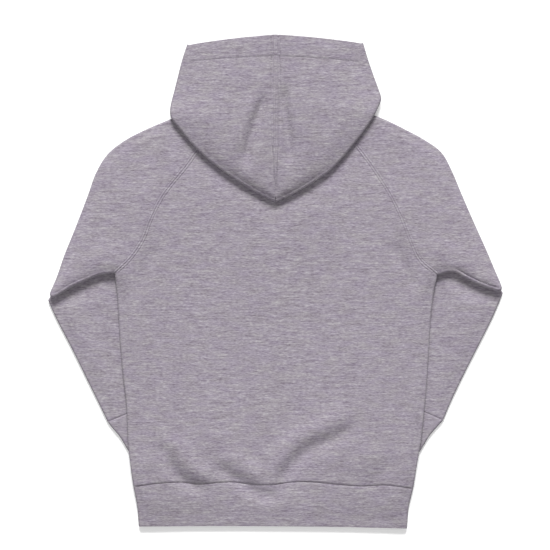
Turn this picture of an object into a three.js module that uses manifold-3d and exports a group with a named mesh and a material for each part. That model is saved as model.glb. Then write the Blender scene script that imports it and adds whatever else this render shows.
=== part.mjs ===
// Toddler raglan hoodie, laid flat on its front with the hood spread on the back.
// Millimetres, +Z up out of the surface, +Y towards the top of the hood, the wearer's left at -X.
import * as THREE from 'three';
import { mergeVertices } from 'three/addons/utils/BufferGeometryUtils.js';
import Module from 'manifold-3d';

// Named sizes
const CLOTH = 2.0; // wall of brushed sweatshirt knit
const HALF = CLOTH / 2;
const SEAM = 0.3; // gap between sewn pieces
const PLY = 2.7; // from the middle of one flat layer to the next
const LIFT = 5.0; // how far the body rises over a tucked forearm
const FOLD_STEPS = [0, 0.12, 0.5, 1.1, 1.9]; // stations round a rounded fold, from the edge inward

const SIDE_BODY = [ // body side edge from the hem to the armpit
  { yl: -264.6, left: 147.4, yr: -266.0, right: 141.8 },
  { yl: -239.8, left: 149.8, yr: -239.8, right: 144.2 },
  { yl: -220.3, left: 153.4, yr: -220.3, right: 148.8 },
  { yl: -200.9, left: 156.1, yr: -200.9, right: 151.7 },
  { yl: -175.0, left: 159.0, yr: -175.0, right: 156.1 },
  { yl: -136.1, left: 160.4, yr: -136.1, right: 160.4 },
  { yl: -97.2, left: 164.7, yr: -97.2, right: 163.6 },
  { yl: -58.3, left: 167.9, yr: -58.3, right: 165.8 },
  { yl: -19.4, left: 170.1, yr: -19.4, right: 169.0 },
  { yl: 10.0, left: 173.3, yr: 8.0, right: 174.4 },
];
const SLEEVE_OUT = [ // outer edge of the upper sleeve from the elbow to the high shoulder point
  { left: 244.1, yl: -17.3, right: 244.6, yr: -9.7 },
  { left: 238.3, yl: -2.2, right: 242.0, yr: -2.2 },
  { left: 229.7, yl: 23.8, right: 231.7, yr: 23.8 },
  { left: 216.0, yl: 58.3, right: 216.5, yr: 58.3 },
  { left: 202.8, yl: 92.9, right: 201.4, yr: 92.9 },
  { left: 193.3, yl: 118.8, right: 190.6, yr: 118.8 },
  { left: 182.8, yl: 136.1, right: 182.0, yr: 136.1 },
  { left: 173.6, yl: 144.7, right: 173.3, yr: 144.7 },
  { left: 161.5, yl: 153.4, right: 160.4, yr: 153.4 },
  { left: 145.2, yl: 162.0, right: 144.6, yr: 162.0 },
  { left: 126.0, yl: 170.6, right: 128.2, yr: 170.6 },
  { left: 109.4, yl: 177.2, right: 111.6, yr: 177.8 },
  { left: 75.0, yl: 191.0, right: 75.0, yr: 191.0 },
];
const ELBOW = { left: 246.4, yl: -21.0, right: 247.0, yr: -13.2, round: 3.6 };
const CREASE = [ // where the upper sleeve folds over the forearm, from the armpit outward
  { left: 173.3, yl: 10.0, right: 174.4, yr: 8.0 },
  { left: 182.0, yl: 9.8, right: 185.6, yr: 11.4 },
  { left: 194.9, yl: 4.9, right: 196.0, yr: 8.0 },
  { left: 207.0, yl: -0.2, right: 210.0, yr: 0.8 },
  { left: 219.2, yl: -5.8, right: 223.0, yr: -5.2 },
  { left: 232.0, yl: -12.8, right: 235.0, yr: -10.6 },
];
const RAGLAN_BACK = [ // from the armpit to the neckline
  { left: 173.3, yl: 10.0, right: 174.4, yr: 8.0 },
  { left: 157.0, yl: 25.0, right: 155.5, yr: 24.0 },
  { left: 143.1, yl: 45.4, right: 145.3, yr: 45.4 },
  { left: 134.2, yl: 68.0, right: 136.6, yr: 68.0 },
  { left: 121.5, yl: 92.9, right: 124.5, yr: 92.9 },
  { left: 92.8, yl: 130.0, right: 100.5, yr: 130.0 },
  { left: 65.0, yl: 173.5, right: 66.0, yr: 174.5 },
];
const RAGLAN_FRONT = [
  { left: 173.3, yl: 10.0, right: 174.4, yr: 8.0 },
  { left: 153.0, yl: 30.0, right: 153.0, yr: 26.0 },
  { left: 128.0, yl: 66.0, right: 130.0, yr: 68.0 },
  { left: 84.0, yl: 122.0, right: 86.0, yr: 124.0 },
  { left: 58.0, yl: 154.5, right: 58.0, yr: 154.5 },
];
const NECK_BACK = [ // half of the back neckline, from the centre
  { out: 0, y: 168.6 }, { out: 26, y: 168.9 }, { out: 50, y: 170.4 }, { out: 65.5, y: 174.0 },
];
const NECK_FRONT = [ // half of the front neckline, from the centre
  { out: 0, y: 126.4 }, { out: 18, y: 128.4 }, { out: 38, y: 137.8 }, { out: 58, y: 154.5 },
];
const FOREARM_OUT = [ // outer edge of the forearm from the elbow to the cuff seam
  { left: 245.4, yl: -20.0, right: 245.2, yr: -12.2 },
  { left: 238.1, yl: -36.7, right: 234.9, yr: -36.7 },
  { left: 220.2, yl: -71.3, right: 217.6, yr: -71.3 },
  { left: 203.2, yl: -105.8, right: 200.2, yr: -105.8 },
  { left: 190.4, yl: -131.8, right: 188.0, yr: -131.8 },
  { left: 181.1, yl: -151.0, right: 180.9, yr: -149.0 },
];
const FOREARM_IN = [ // inner edge, under the body
  { left: 141.0, yl: 58.0, right: 141.0, yr: 62.0 },
  { left: 124.0, yl: -40.0, right: 124.0, yr: -38.0 },
  { left: 111.8, yl: -122.0, right: 111.8, yr: -120.0 },
];
const CUFF_OUT = [
  { left: 181.1, yl: -151.0, right: 180.9, yr: -149.0 },
  { left: 176.0, yl: -157.7, right: 173.0, yr: -157.7 },
  { left: 168.6, yl: -166.3, right: 165.8, yr: -166.3 },
  { left: 163.2, yl: -175.0, right: 160.6, yr: -175.0 },
  { left: 153.9, yl: -191.2, right: 151.7, yr: -189.0 },
];
const CUFF_IN = [
  { left: 111.8, yl: -122.0, right: 111.8, yr: -120.0 },
  { left: 104.0, yl: -141.0, right: 104.0, yr: -139.0 },
  { left: 98.0, yl: -168.0, right: 97.0, yr: -166.0 },
];
const HEM_SEAM = [ // band seam, left to right
  { x: -153.9, y: -220.9 }, { x: -126.9, y: -217.1 }, { x: -105.3, y: -216.0 }, { x: -81.5, y: -217.7 },
  { x: -49.7, y: -215.8 }, { x: -25.4, y: -218.4 }, { x: -3.8, y: -218.9 }, { x: 17.8, y: -216.0 },
  { x: 39.4, y: -215.8 }, { x: 66.4, y: -218.2 }, { x: 92.3, y: -220.1 }, { x: 119.3, y: -218.9 },
  { x: 149.0, y: -223.0 },
];
const HEM_END = [{ x: -148.3, y: -263.6 }, { x: -60, y: -263.2 }, { x: 60, y: -264.0 }, { x: 142.3, y: -265.8 }];

// Creases pressed into the upper layer: path, height (below 0 is a trough), half width
const CREASES = [
  { name: 'hem left hook', path: [[-119, -160], [-112, -184], [-96, -208], [-70, -217]], height: -1.9, width: 8 },
  { name: 'hem left puff', path: [[-96, -170], [-84, -190], [-60, -207]], height: 1.5, width: 11 },
  { name: 'hem middle drag', path: [[-62, -190], [-33, -209], [-8, -224]], height: -1.5, width: 8 },
  { name: 'hem long drag', path: [[-14, -226], [6, -208], [27, -182], [61, -164], [107, -122]], height: -1.9, width: 9 },
  { name: 'hem long ridge', path: [[16, -214], [34, -196], [62, -182], [96, -160]], height: 1.3, width: 10 },
  { name: 'hem right drag', path: [[48, -217], [86, -221], [118, -198]], height: -1.6, width: 8 },
  { name: 'side hollow left', path: [[-148, -140], [-150, -170], [-146, -205]], height: -0.8, width: 10 },
  { name: 'armpit drag right', path: [[129, 42], [140, 22], [152, -8]], height: -1.3, width: 8 },
  { name: 'armpit drag left', path: [[-128, 38], [-140, 14], [-150, -16]], height: -1.0, width: 8 },
  { name: 'sleeve roll left', path: [[-160, 36], [-186, 22], [-216, 6]], height: 1.6, width: 12 },
  { name: 'sleeve roll right', path: [[158, 38], [184, 22], [222, 10]], height: 1.6, width: 12 },
];

// Hood outline by section: v runs from the back centre seam (0) to the face edge (1)
const HOOD_EDGE = [
  { v: 0, left: 0, yl: 86.0, right: 0, yr: 86.0 },
  { v: 0.1, left: 21.1, yl: 96.7, right: 22.0, yr: 96.2 },
  { v: 0.2, left: 49.6, yl: 114.5, right: 47.0, yr: 111.2 },
  { v: 0.3, left: 70.0, yl: 129.8, right: 64.5, yr: 125.4 },
  { v: 0.37, left: 88.0, yl: 146.4, right: 84.8, yr: 149.0 },
  { v: 0.43, left: 103.1, yl: 164.2, right: 99.0, yr: 168.0 },
  { v: 0.47, left: 112.0, yl: 175.4, right: 106.9, yr: 180.4 },
  { v: 0.5, left: 113.9, yl: 183.6, right: 110.3, yr: 187.8 },
  { v: 0.56, left: 112.4, yl: 194.0, right: 113.9, yr: 197.0 },
  { v: 0.65, left: 109.4, yl: 206.0, right: 111.4, yr: 207.0 },
  { v: 0.76, left: 105.3, yl: 222.5, right: 105.8, yr: 222.5 },
  { v: 0.88, left: 100.8, yl: 240.0, right: 99.9, yr: 239.8 },
  { v: 1, left: 95.4, yl: 256.4, right: 94.4, yr: 258.0 },
];
// Hood sections: roll = whether the layer turns over above the neck seam, p = a point it passes when it does
// not, u = middle of the under layer, low = its height at the outer fold, gap = half the fold's height,
// s = where the section meets the centre seam, crown = rise between
const HOOD_SECTION = [
  { v: 0, roll: 1, px: 0, py: 172, pz: 6.2, ux: 0, uy: 130, uz: 6.2, low: 6.2, gap: 1.6, sy: 97, sz: 10, crown: 0 },
  { v: 0.1, roll: 1, px: 12, py: 172, pz: 6.2, ux: 12, uy: 132, uz: 6.2, low: 6.2, gap: 1.6, sy: 106, sz: 11.8, crown: 0.5 },
  { v: 0.2, roll: 1, px: 30, py: 172, pz: 6.2, ux: 46, uy: 142, uz: 6.2, low: 6.2, gap: 1.7, sy: 122, sz: 14.4, crown: 1.2 },
  { v: 0.3, roll: 1, px: 50, py: 174, pz: 6.2, ux: 64, uy: 152, uz: 6.2, low: 6.2, gap: 1.8, sy: 139, sz: 16.6, crown: 2.2 },
  { v: 0.37, roll: 1, px: 60, py: 176, pz: 6.2, ux: 76, uy: 162, uz: 6.2, low: 6.2, gap: 1.9, sy: 151, sz: 17.8, crown: 2.7 },
  { v: 0.43, roll: 1, px: 66, py: 184, pz: 6.3, ux: 85, uy: 173, uz: 6.4, low: 6.2, gap: 1.9, sy: 163, sz: 18.5, crown: 3 },
  { v: 0.47, roll: 1, px: 70, py: 194, pz: 6.4, ux: 92, uy: 183, uz: 6.8, low: 6.2, gap: 2.0, sy: 174, sz: 18.8, crown: 3.1 },
  { v: 0.5, roll: 0, px: 72, py: 198.5, pz: 6.4, ux: 94, uy: 194, uz: 6.4, low: 5.5, gap: 2.0, sy: 183, sz: 19, crown: 3.2 },
  { v: 0.53, roll: 0, px: 68.5, py: 199, pz: 3.4, ux: 92, uy: 199, uz: 4.6, low: 4.4, gap: 2.0, sy: 189, sz: 19, crown: 3.3 },
  { v: 0.56, roll: 0, px: 67, py: 199, pz: 1.7, ux: 90, uy: 203, uz: 3.2, low: 3.4, gap: 2.0, sy: 196, sz: 19, crown: 3.4 },
  { v: 0.65, roll: 0, px: 63, py: 197, pz: 1.0, ux: 85, uy: 208, uz: 1.5, low: 1.7, gap: 2.0, sy: 212, sz: 18.7, crown: 3.4 },
  { v: 0.76, roll: 0, px: 56, py: 191, pz: 1.0, ux: 78, uy: 211, uz: 1.0, low: 1.0, gap: 2.0, sy: 231, sz: 17.8, crown: 3 },
  { v: 0.88, roll: 0, px: 46, py: 182, pz: 1.0, ux: 68, uy: 208, uz: 1.0, low: 1.0, gap: 1.9, sy: 250, sz: 16.2, crown: 2.4 },
  { v: 1, roll: 0, px: 37, py: 176, pz: 1.0, ux: 60, uy: 207, uz: 1.0, low: 1.0, gap: 1.8, sy: 265.8, sz: 14, crown: 1.6 },
];
const HOOD_CREASES = [
  { name: 'trough left of seam', path: [[-12, 206], [-27, 176], [-35, 142]], height: -1.6, width: 8 },
  { name: 'trough right of seam', path: [[13, 214], [10, 196], [16, 164], [12, 134]], height: -1.3, width: 7 },
  { name: 'ridge on seam', path: [[-3, 212], [-3, 176], [-10, 130]], height: 1.2, width: 7 },
];

// Small helpers
const clamp = (t, a = 0, b = 1) => Math.min(b, Math.max(a, t));
const ease = (t) => { const c = clamp(t); return c * c * (3 - 2 * c); };
const mix = (a, b, t) => a + (b - a) * t;
const sub = (a, b) => [a[0] - b[0], a[1] - b[1]];
const len = (a) => Math.hypot(a[0], a[1]);
const unit = (a) => { const l = len(a) || 1; return [a[0] / l, a[1] / l]; };

// Smooth curve through plan points, read by share of its length
function curve(points, samples = 96) {
  const line = new THREE.CatmullRomCurve3(points.map((p) => new THREE.Vector3(p[0], p[1], 0)), false, 'centripetal');
  const dense = line.getSpacedPoints(samples).map((p) => [p.x, p.y]);
  const at = (f) => {
    const g = clamp(f) * samples, i = Math.min(samples - 1, Math.floor(g)), t = g - i;
    return [mix(dense[i][0], dense[i + 1][0], t), mix(dense[i][1], dense[i + 1][1], t)];
  };
  const along = (f) => unit(sub(at(clamp(f + 0.006)), at(clamp(f - 0.006))));
  return { at, along, dense, length: line.getLength() };
}
const inset = (c, side, depth) => c.dense.map((p, i) => {
  const t = c.along(i / (c.dense.length - 1));
  return [p[0] - t[1] * depth * side, p[1] + t[0] * depth * side];
});
const every = (points, n) => points.filter((p, i) => i % n === 0 || i === points.length - 1);

// Distance from a plan point to a line of points, with the share of its length at the nearest place
function nearest(points, x, y) {
  let best = Infinity, share = 0;
  for (let i = 0; i + 1 < points.length; i += 1) {
    const a = points[i], b = points[i + 1], dx = b[0] - a[0], dy = b[1] - a[1];
    const t = clamp(((x - a[0]) * dx + (y - a[1]) * dy) / (dx * dx + dy * dy || 1));
    const d = Math.hypot(x - a[0] - dx * t, y - a[1] - dy * t);
    if (d < best) { best = d; share = (i + t) / (points.length - 1); }
  }
  return { d: best, share };
}
function outside(loop, x, y) { // 0 inside a closed loop, else the distance to it
  let inside = false;
  for (let i = 0, j = loop.length - 1; i < loop.length; j = i, i += 1) {
    const a = loop[i], b = loop[j];
    if ((a[1] > y) !== (b[1] > y) && x < ((b[0] - a[0]) * (y - a[1])) / (b[1] - a[1]) + a[0]) inside = !inside;
  }
  return inside ? 0 : nearest([...loop, loop[0]], x, y).d;
}
function press(list, x, y) { // height of all creases at a plan point
  let h = 0;
  for (const c of list) {
    const n = nearest(c.path, x, y);
    if (n.d < c.width * 2.6) h += c.height * Math.exp(-((n.d / c.width) ** 2)) * ease(n.share / 0.25 + 0.15) * ease((1 - n.share) / 0.25 + 0.15);
  }
  return h;
}

// Plan of one side, from the tables
function planOf(side) {
  const left = side < 0;
  const read = (table) => table.map((r) => (left ? [-r.left, r.yl] : [r.right, r.yr]));
  const turn = -side; // 1 where inward is to the left of an edge that runs down
  const bodySide = curve(read(SIDE_BODY));
  const outer = curve(read(SLEEVE_OUT));
  const crease = curve(read(CREASE));
  const sideMid = curve(every(inset(bodySide, -turn, HALF), 8));
  const outerMid = every(inset(outer, -turn, HALF), 8);
  const armpit = sideMid.at(1);
  // rounded elbow corner between the crease and the outer edge
  const tip = left ? [-ELBOW.left, ELBOW.yl] : [ELBOW.right, ELBOW.yr];
  const inA = unit(sub(crease.at(0.5), tip)), inB = unit(sub(outer.at(0.2), tip));
  const angle = Math.acos(inA[0] * inB[0] + inA[1] * inB[1]);
  const bis = unit([inA[0] + inB[0], inA[1] + inB[1]]);
  const r = ELBOW.round - HALF, out = ELBOW.round / Math.sin(angle / 2);
  const centre = [tip[0] + bis[0] * out, tip[1] + bis[1] * out];
  const corner = [centre[0] - bis[0] * r, centre[1] - bis[1] * r];
  const footA = (k) => { // point of the rounding turned k of the way to one edge
    const a = Math.atan2(-bis[1], -bis[0]) + k * (Math.PI - angle) / 2;
    return [centre[0] + Math.cos(a) * r, centre[1] + Math.sin(a) * r];
  };
  const toCrease = len(sub(footA(1), crease.at(0.6))) < len(sub(footA(-1), crease.at(0.6))) ? 1 : -1;
  const creaseMid = curve([armpit, ...every(inset(crease, -turn, HALF), 24).slice(1, -1), footA(toCrease), footA(toCrease * 0.5), corner]);
  const outMid = curve([corner, footA(-toCrease * 0.5), footA(-toCrease), ...outerMid.slice(1)]);
  const foldLine = [...sideMid.dense, ...creaseMid.dense.slice(1), ...outMid.dense.slice(1)];
  const raglan = (table) => { const p = read(table); p[0] = armpit; return curve(p); };
  // forearm: silhouette loop, and its middle lines
  const fOut = curve(read(FOREARM_OUT)), fIn = curve(read(FOREARM_IN));
  const cOut = curve(read(CUFF_OUT)), cIn = curve(read(CUFF_IN));
  const foot = [...every(fOut.dense, 12), ...every(cOut.dense, 12), ...every(cIn.dense, 12).reverse(), ...every(fIn.dense, 12).reverse()];
  return { side, left, sideMid, creaseMid, outMid, foldLine, armpit, corner, fOut, fIn, cOut, cIn, foot,
    back: raglan(RAGLAN_BACK), front: raglan(RAGLAN_FRONT), turn };
}
const PLAN = { left: planOf(-1), right: planOf(1) };
const edgeRead = (side) => HOOD_EDGE.map((r) => (side < 0 ? [-r.left, r.yl] : [r.right, r.yr]));
const HOOD_LOOP = [...edgeRead(-1), ...edgeRead(1).reverse()];

// Heights of the lower and upper layers at a plan point
function layers(x, y) {
  const p = x < 0 ? PLAN.left : PLAN.right;
  const away = outside(p.foot, x, y);
  const lower = HALF + LIFT * ease(1 - (away - 6) / 45);
  const edge = nearest(p.foldLine, x, y).d;
  const calm = ease(outside(HOOD_LOOP, x, y) / 30) * ease((edge - 2) / 30) * ease((y + 268) / 34);
  const upper = HALF + LIFT * ease(1 - (away - 6) / 90) + PLY + calm * (2.0 + press(CREASES, x, y));
  return { lower, upper: Math.max(upper, lower + PLY), edge };
}
// The same two layers with their rounded fold along the edge; which is 1 for the upper, -1 for the lower
function foldedHeight(lower, upper, edge, which) {
  const h = (upper - lower) / 2, r = Math.min(h, 2.4), t = clamp(edge / r);
  return (upper + lower) / 2 + which * h * Math.sqrt(1 - (1 - t) * (1 - t));
}

// Patch between four edge curves: a(s) and b(s) run along it, c(w) and d(w) across its two ends
const patch = (a, b, c, d) => (s, w) => [0, 1].map((k) =>
  (1 - w) * a(s)[k] + w * b(s)[k] + (1 - s) * c(w)[k] + s * d(w)[k]
  - ((1 - s) * (1 - w) * a(0)[k] + (1 - s) * w * b(0)[k] + s * (1 - w) * a(1)[k] + s * w * b(1)[k]));
// Stations along a length as shares, close together round a fold at either end
function stations(length, count, foldStart, foldEnd) {
  const start = foldStart ? FOLD_STEPS : [0], end = foldEnd ? FOLD_STEPS : [0];
  const a = start[start.length - 1], b = length - end[end.length - 1], list = [...start];
  for (let i = 1; i < count; i += 1) list.push(mix(a, b, i / count));
  return [...list, ...[...end].reverse().map((e) => length - e)].map((v) => v / length);
}

// Middle surface of a piece, made a closed wall of even thickness
class Cloth {
  constructor() { this.points = []; this.cuts = []; this.faces = []; this.keys = new Map(); }
  add(key, x, y, z, cuts = []) {
    if (this.keys.has(key)) { this.cuts[this.keys.get(key)].push(...cuts); return this.keys.get(key); }
    this.points.push(new THREE.Vector3(x, y, z));
    this.cuts.push([...cuts]);
    this.keys.set(key, this.points.length - 1);
    return this.points.length - 1;
  }
  quad(a, b, c, d) { // split along the shorter diagonal
    const p = this.points, tri = (i, j, k) => { if (i !== j && j !== k && i !== k) this.faces.push([i, j, k]); };
    if (p[a].distanceTo(p[c]) <= p[b].distanceTo(p[d])) { tri(a, b, c); tri(a, c, d); } else { tri(a, b, d); tri(b, c, d); }
  }
  grid(rows, up = true) {
    for (let i = 0; i + 1 < rows.length; i += 1) {
      for (let j = 0; j + 1 < rows[i].length; j += 1) {
        const q = [rows[i][j], rows[i][j + 1], rows[i + 1][j + 1], rows[i + 1][j]];
        if (up) this.quad(...q); else this.quad(q[3], q[2], q[1], q[0]);
      }
    }
  }
  normals() {
    const n = this.points.map(() => new THREE.Vector3());
    const e = [new THREE.Vector3(), new THREE.Vector3(), new THREE.Vector3()];
    for (const f of this.faces) {
      for (let k = 0; k < 3; k += 1) e[k].subVectors(this.points[f[(k + 1) % 3]], this.points[f[k]]);
      const face = new THREE.Vector3().crossVectors(e[0], e[1]);
      if (face.length() < 1e-9) continue;
      face.normalize();
      for (let k = 0; k < 3; k += 1) n[f[k]].addScaledVector(face, e[k].angleTo(e[(k + 2) % 3].clone().negate()));
    }
    n.forEach((v, i) => {
      for (const c of this.cuts[i]) v.addScaledVector(c, -v.dot(c));
      for (const c of this.cuts[i]) v.addScaledVector(c, -v.dot(c));
      v.normalize();
    });
    return n;
  }
  solid(thickness = CLOTH) {
    const n = this.normals(), count = this.points.length, vertices = [], index = [];
    for (const s of [0.5, -0.5]) this.points.forEach((p, i) => vertices.push(p.x + n[i].x * s * thickness, p.y + n[i].y * s * thickness, p.z + n[i].z * s * thickness));
    const edges = new Map();
    for (const [a, b, c] of this.faces) {
      index.push(a, b, c, count + c, count + b, count + a);
      for (const [i, j] of [[a, b], [b, c], [c, a]]) edges.set(`${i}_${j}`, [i, j]);
    }
    for (const [i, j] of edges.values()) if (!edges.has(`${j}_${i}`)) index.push(j, i, count + i, j, count + i, count + j);
    const g = new THREE.BufferGeometry();
    g.setAttribute('position', new THREE.Float32BufferAttribute(vertices, 3));
    g.setIndex(index);
    return g;
  }
}
const across = (t) => new THREE.Vector3(-t[1], t[0], 0);
const UP = new THREE.Vector3(0, 0, 1), SIDEWAYS = new THREE.Vector3(1, 0, 0), LENGTHWAYS = new THREE.Vector3(0, 1, 0);

// Stations shared by pieces that meet
const SIDE_LONG = 230;
const SIDE_ROWS = [0, 0.03, 0.065, 0.105, 0.15, 0.2, 0.26, 0.33, 0.41, 0.5, 0.6, 0.7, 0.8, 0.89, 0.96, 1];
const RAGLAN_ROWS = stations(195, 8, true, false);
const OUTER_SHARE = [0, 0.17, 0.34, 0.465, 0.54, 0.615, 0.7, 0.84, 1]; // rows on the outer edge, closest round the shoulder
const outerShare = (s) => { const g = s * 8, i = Math.min(7, Math.floor(g)); return mix(OUTER_SHARE[i], OUTER_SHARE[i + 1], g - i); };
const BACK_COLS = stations(306, 21, true, true);
const FRONT_COLS = [...[...FOLD_STEPS, 11, 25, 40, 55, 73, 104].map((d) => d / 306), 0.5, ...[104, 73, 55, 40, 25, 11, ...[...FOLD_STEPS].reverse()].map((d) => 1 - d / 306)];
const SLEEVE_COLS = stations(78, 5, false, true);

// The body's half of the raglan gap, which starts from nothing at the armpit
const bodyShare = (f) => (SEAM / 2) * clamp(f * 24);

// Body panels: which is 1 for the back (upper), -1 for the front (lower)
const hemLine = (table) => {
  const c = curve(table.map((r) => [r.x, r.y]), 160);
  return (x) => { // height of the line at x
    const d = c.dense;
    let i = 0;
    while (i < d.length - 2 && d[i + 1][0] < x) i += 1;
    return mix(d[i][1], d[i + 1][1], clamp((x - d[i][0]) / (d[i + 1][0] - d[i][0] || 1)));
  };
};
const hemSeamY = hemLine(HEM_SEAM), hemEndY = hemLine(HEM_END);
function shareAtY(c, y) { let a = 0, b = 1; for (let i = 0; i < 30; i += 1) { const m = (a + b) / 2; if (c.at(m)[1] < y) a = m; else b = m; } return a; }

function bodyPanel(which, cols, raglanOf, neckTable) {
  const cloth = new Cloth();
  const L = PLAN.left, R = PLAN.right;
  const startOf = (p) => shareAtY(p.sideMid, hemSeamY(p.sideMid.at(0.15)[0]) + SEAM / 2);
  const startL = startOf(L), startR = startOf(R);
  const neckSide = neckTable[neckTable.length - 1];
  const neck = curve([...neckTable.slice().reverse().map((r) => [-r.out, r.y]), ...neckTable.slice(1).map((r) => [r.out, r.y])]);
  const edgeOf = (p, start) => {
    const seam = raglanOf(p);
    const to = (f) => { const q = seam.at(f), t = seam.along(f), c = p.side * bodyShare(f); return [q[0] - t[1] * c, q[1] + t[0] * c]; };
    return { at: (t) => (t <= 1 ? p.sideMid.at(mix(start, 1, t)) : to(t - 1)), along: (t) => seam.along(t - 1) };
  };
  const eL = edgeOf(L, startL), eR = edgeOf(R, startR);
  const total = SIDE_LONG + 195, shareOf = (t) => (t <= 1 ? (t * SIDE_LONG) / total : (SIDE_LONG + (t - 1) * 195) / total);
  const hem = (w) => { const x = mix(eL.at(0)[0], eR.at(0)[0], w); return [x, hemSeamY(x) + SEAM / 2]; };
  const top = (w) => { const q = neck.at(w); const a = eL.at(2), b = eR.at(2); return [q[0] + mix(a[0] + neckSide.out, b[0] - neckSide.out, w), q[1] + mix(a[1] - neckSide.y, b[1] - neckSide.y, w)]; };
  const rowsT = [...SIDE_ROWS, ...RAGLAN_ROWS.slice(1).map((v) => 1 + v)];
  const rows = rowsT.map((t, i) => cols.map((w, j) => {
    const s = shareOf(t), a = eL.at(t), b = eR.at(t), c = hem(w), d = top(w), a0 = eL.at(0), b0 = eR.at(0), a1 = eL.at(2), b1 = eR.at(2);
    const xy = [0, 1].map((k) => (1 - w) * a[k] + w * b[k] + (1 - s) * c[k] + s * d[k]
      - ((1 - s) * (1 - w) * a0[k] + (1 - s) * w * b0[k] + s * (1 - w) * a1[k] + s * w * b1[k]));
    const atSide = j === 0 || j === cols.length - 1, e = j === 0 ? eL : eR;
    const cuts = [];
    const l = layers(xy[0], xy[1]);
    let z = foldedHeight(l.lower, l.upper, l.edge, which);
    if (atSide && t <= 1) { cuts.push(UP); z = (l.lower + l.upper) / 2 + which * SEAM / 2; }
    if (atSide && t >= 1) cuts.push(across(e.along(Math.max(t, 1.004))));
    if (i === 0) cuts.push(LENGTHWAYS);
    if (i === rowsT.length - 1) cuts.push(across(neck.along(w)));
    return cloth.add(`${i}_${j}`, xy[0], xy[1], z, cuts);
  }));
  cloth.grid(rows, which > 0);
  return cloth;
}

// Sleeve: upper part open at the raglan seam and neck, folded along the outer edge and the crease
function sleeveUpper(p) {
  const cloth = new Cloth();
  const point = p.outMid.at(1);
  const make = (which) => {
    const seam = which > 0 ? p.back : p.front;
    const a = (s) => { const q = seam.at(s), t = seam.along(s), c = -p.side * (SEAM - bodyShare(s) + 0.25 * ease(1 - s * 30)); return [q[0] - t[1] * c, q[1] + t[0] * c]; };
    const b = (s) => p.outMid.at(outerShare(s));
    const a0 = a(0), shift = sub(a0, p.armpit);
    const c = (w) => { const q = p.creaseMid.at(w); return [q[0] + shift[0] * (1 - w), q[1] + shift[1] * (1 - w)]; };
    const end = a(1);
    const d = (w) => [mix(end[0], point[0], w), mix(end[1], point[1], w)];
    const f = patch(a, b, c, d), neckAlong = unit(sub(point, end));
    return RAGLAN_ROWS.map((s, i) => SLEEVE_COLS.map((w, j) => {
      const xy = f(s, w), shared = i === 0 || j === SLEEVE_COLS.length - 1;
      const l = layers(xy[0], xy[1]);
      const z = shared ? (l.lower + l.upper) / 2 : foldedHeight(l.lower, l.upper, l.edge, which);
      const cuts = [];
      if (j === 0) cuts.push(across(seam.along(Math.max(s, 0.004))));
      if (i === RAGLAN_ROWS.length - 1) cuts.push(across(neckAlong));
      return cloth.add(shared ? `e${i}_${j}` : `${which}_${i}_${j}`, xy[0], xy[1], z, shared && which < 0 ? [] : cuts);
    }));
  };
  const upper = make(1), lower = make(-1);
  cloth.grid(upper, p.side < 0 ? false : true);
  cloth.grid(lower, p.side < 0 ? true : false);
  return cloth;
}

// Flattened tube between two side edges; open at the far end, closed or open at the near end
function tube(p, out, inn, rows, cols, closed, heights, endCuts) {
  const cloth = new Cloth();
  const near = closed, make = (which) => rows.map((s, i) => cols.map((w, j) => {
    const a = out(s), b = inn(s);
    const c = near ? near(w) : [mix(out(0)[0], inn(0)[0], w), mix(out(0)[1], inn(0)[1], w)];
    const k = 1 - s, lin = [mix(out(0)[0], inn(0)[0], w), mix(out(0)[1], inn(0)[1], w)];
    const xy = [mix(a[0], b[0], w) + k * (c[0] - lin[0]), mix(a[1], b[1], w) + k * (c[1] - lin[1])];
    const shared = j === 0 || j === cols.length - 1 || (closed && i === 0);
    const h = heights(xy[0], xy[1]);
    const z = shared ? (h.lower + h.upper) / 2 : foldedHeight(h.lower, h.upper, h.edge, which);
    const cuts = [];
    if (i === rows.length - 1) cuts.push(endCuts[1]);
    if (i === 0 && !closed) cuts.push(endCuts[0]);
    return cloth.add(shared ? `e${i}_${j}` : `${which}_${i}_${j}`, xy[0], xy[1], z, shared && which < 0 ? [] : cuts);
  }));
  const upper = make(1), lower = make(-1);
  cloth.grid(upper, p.side < 0);
  cloth.grid(lower, !(p.side < 0));
  return cloth;
}
const FOREARM_ROWS = stations(150, 6, true, false);
const FOREARM_COLS = stations(84, 6, true, true);
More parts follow.
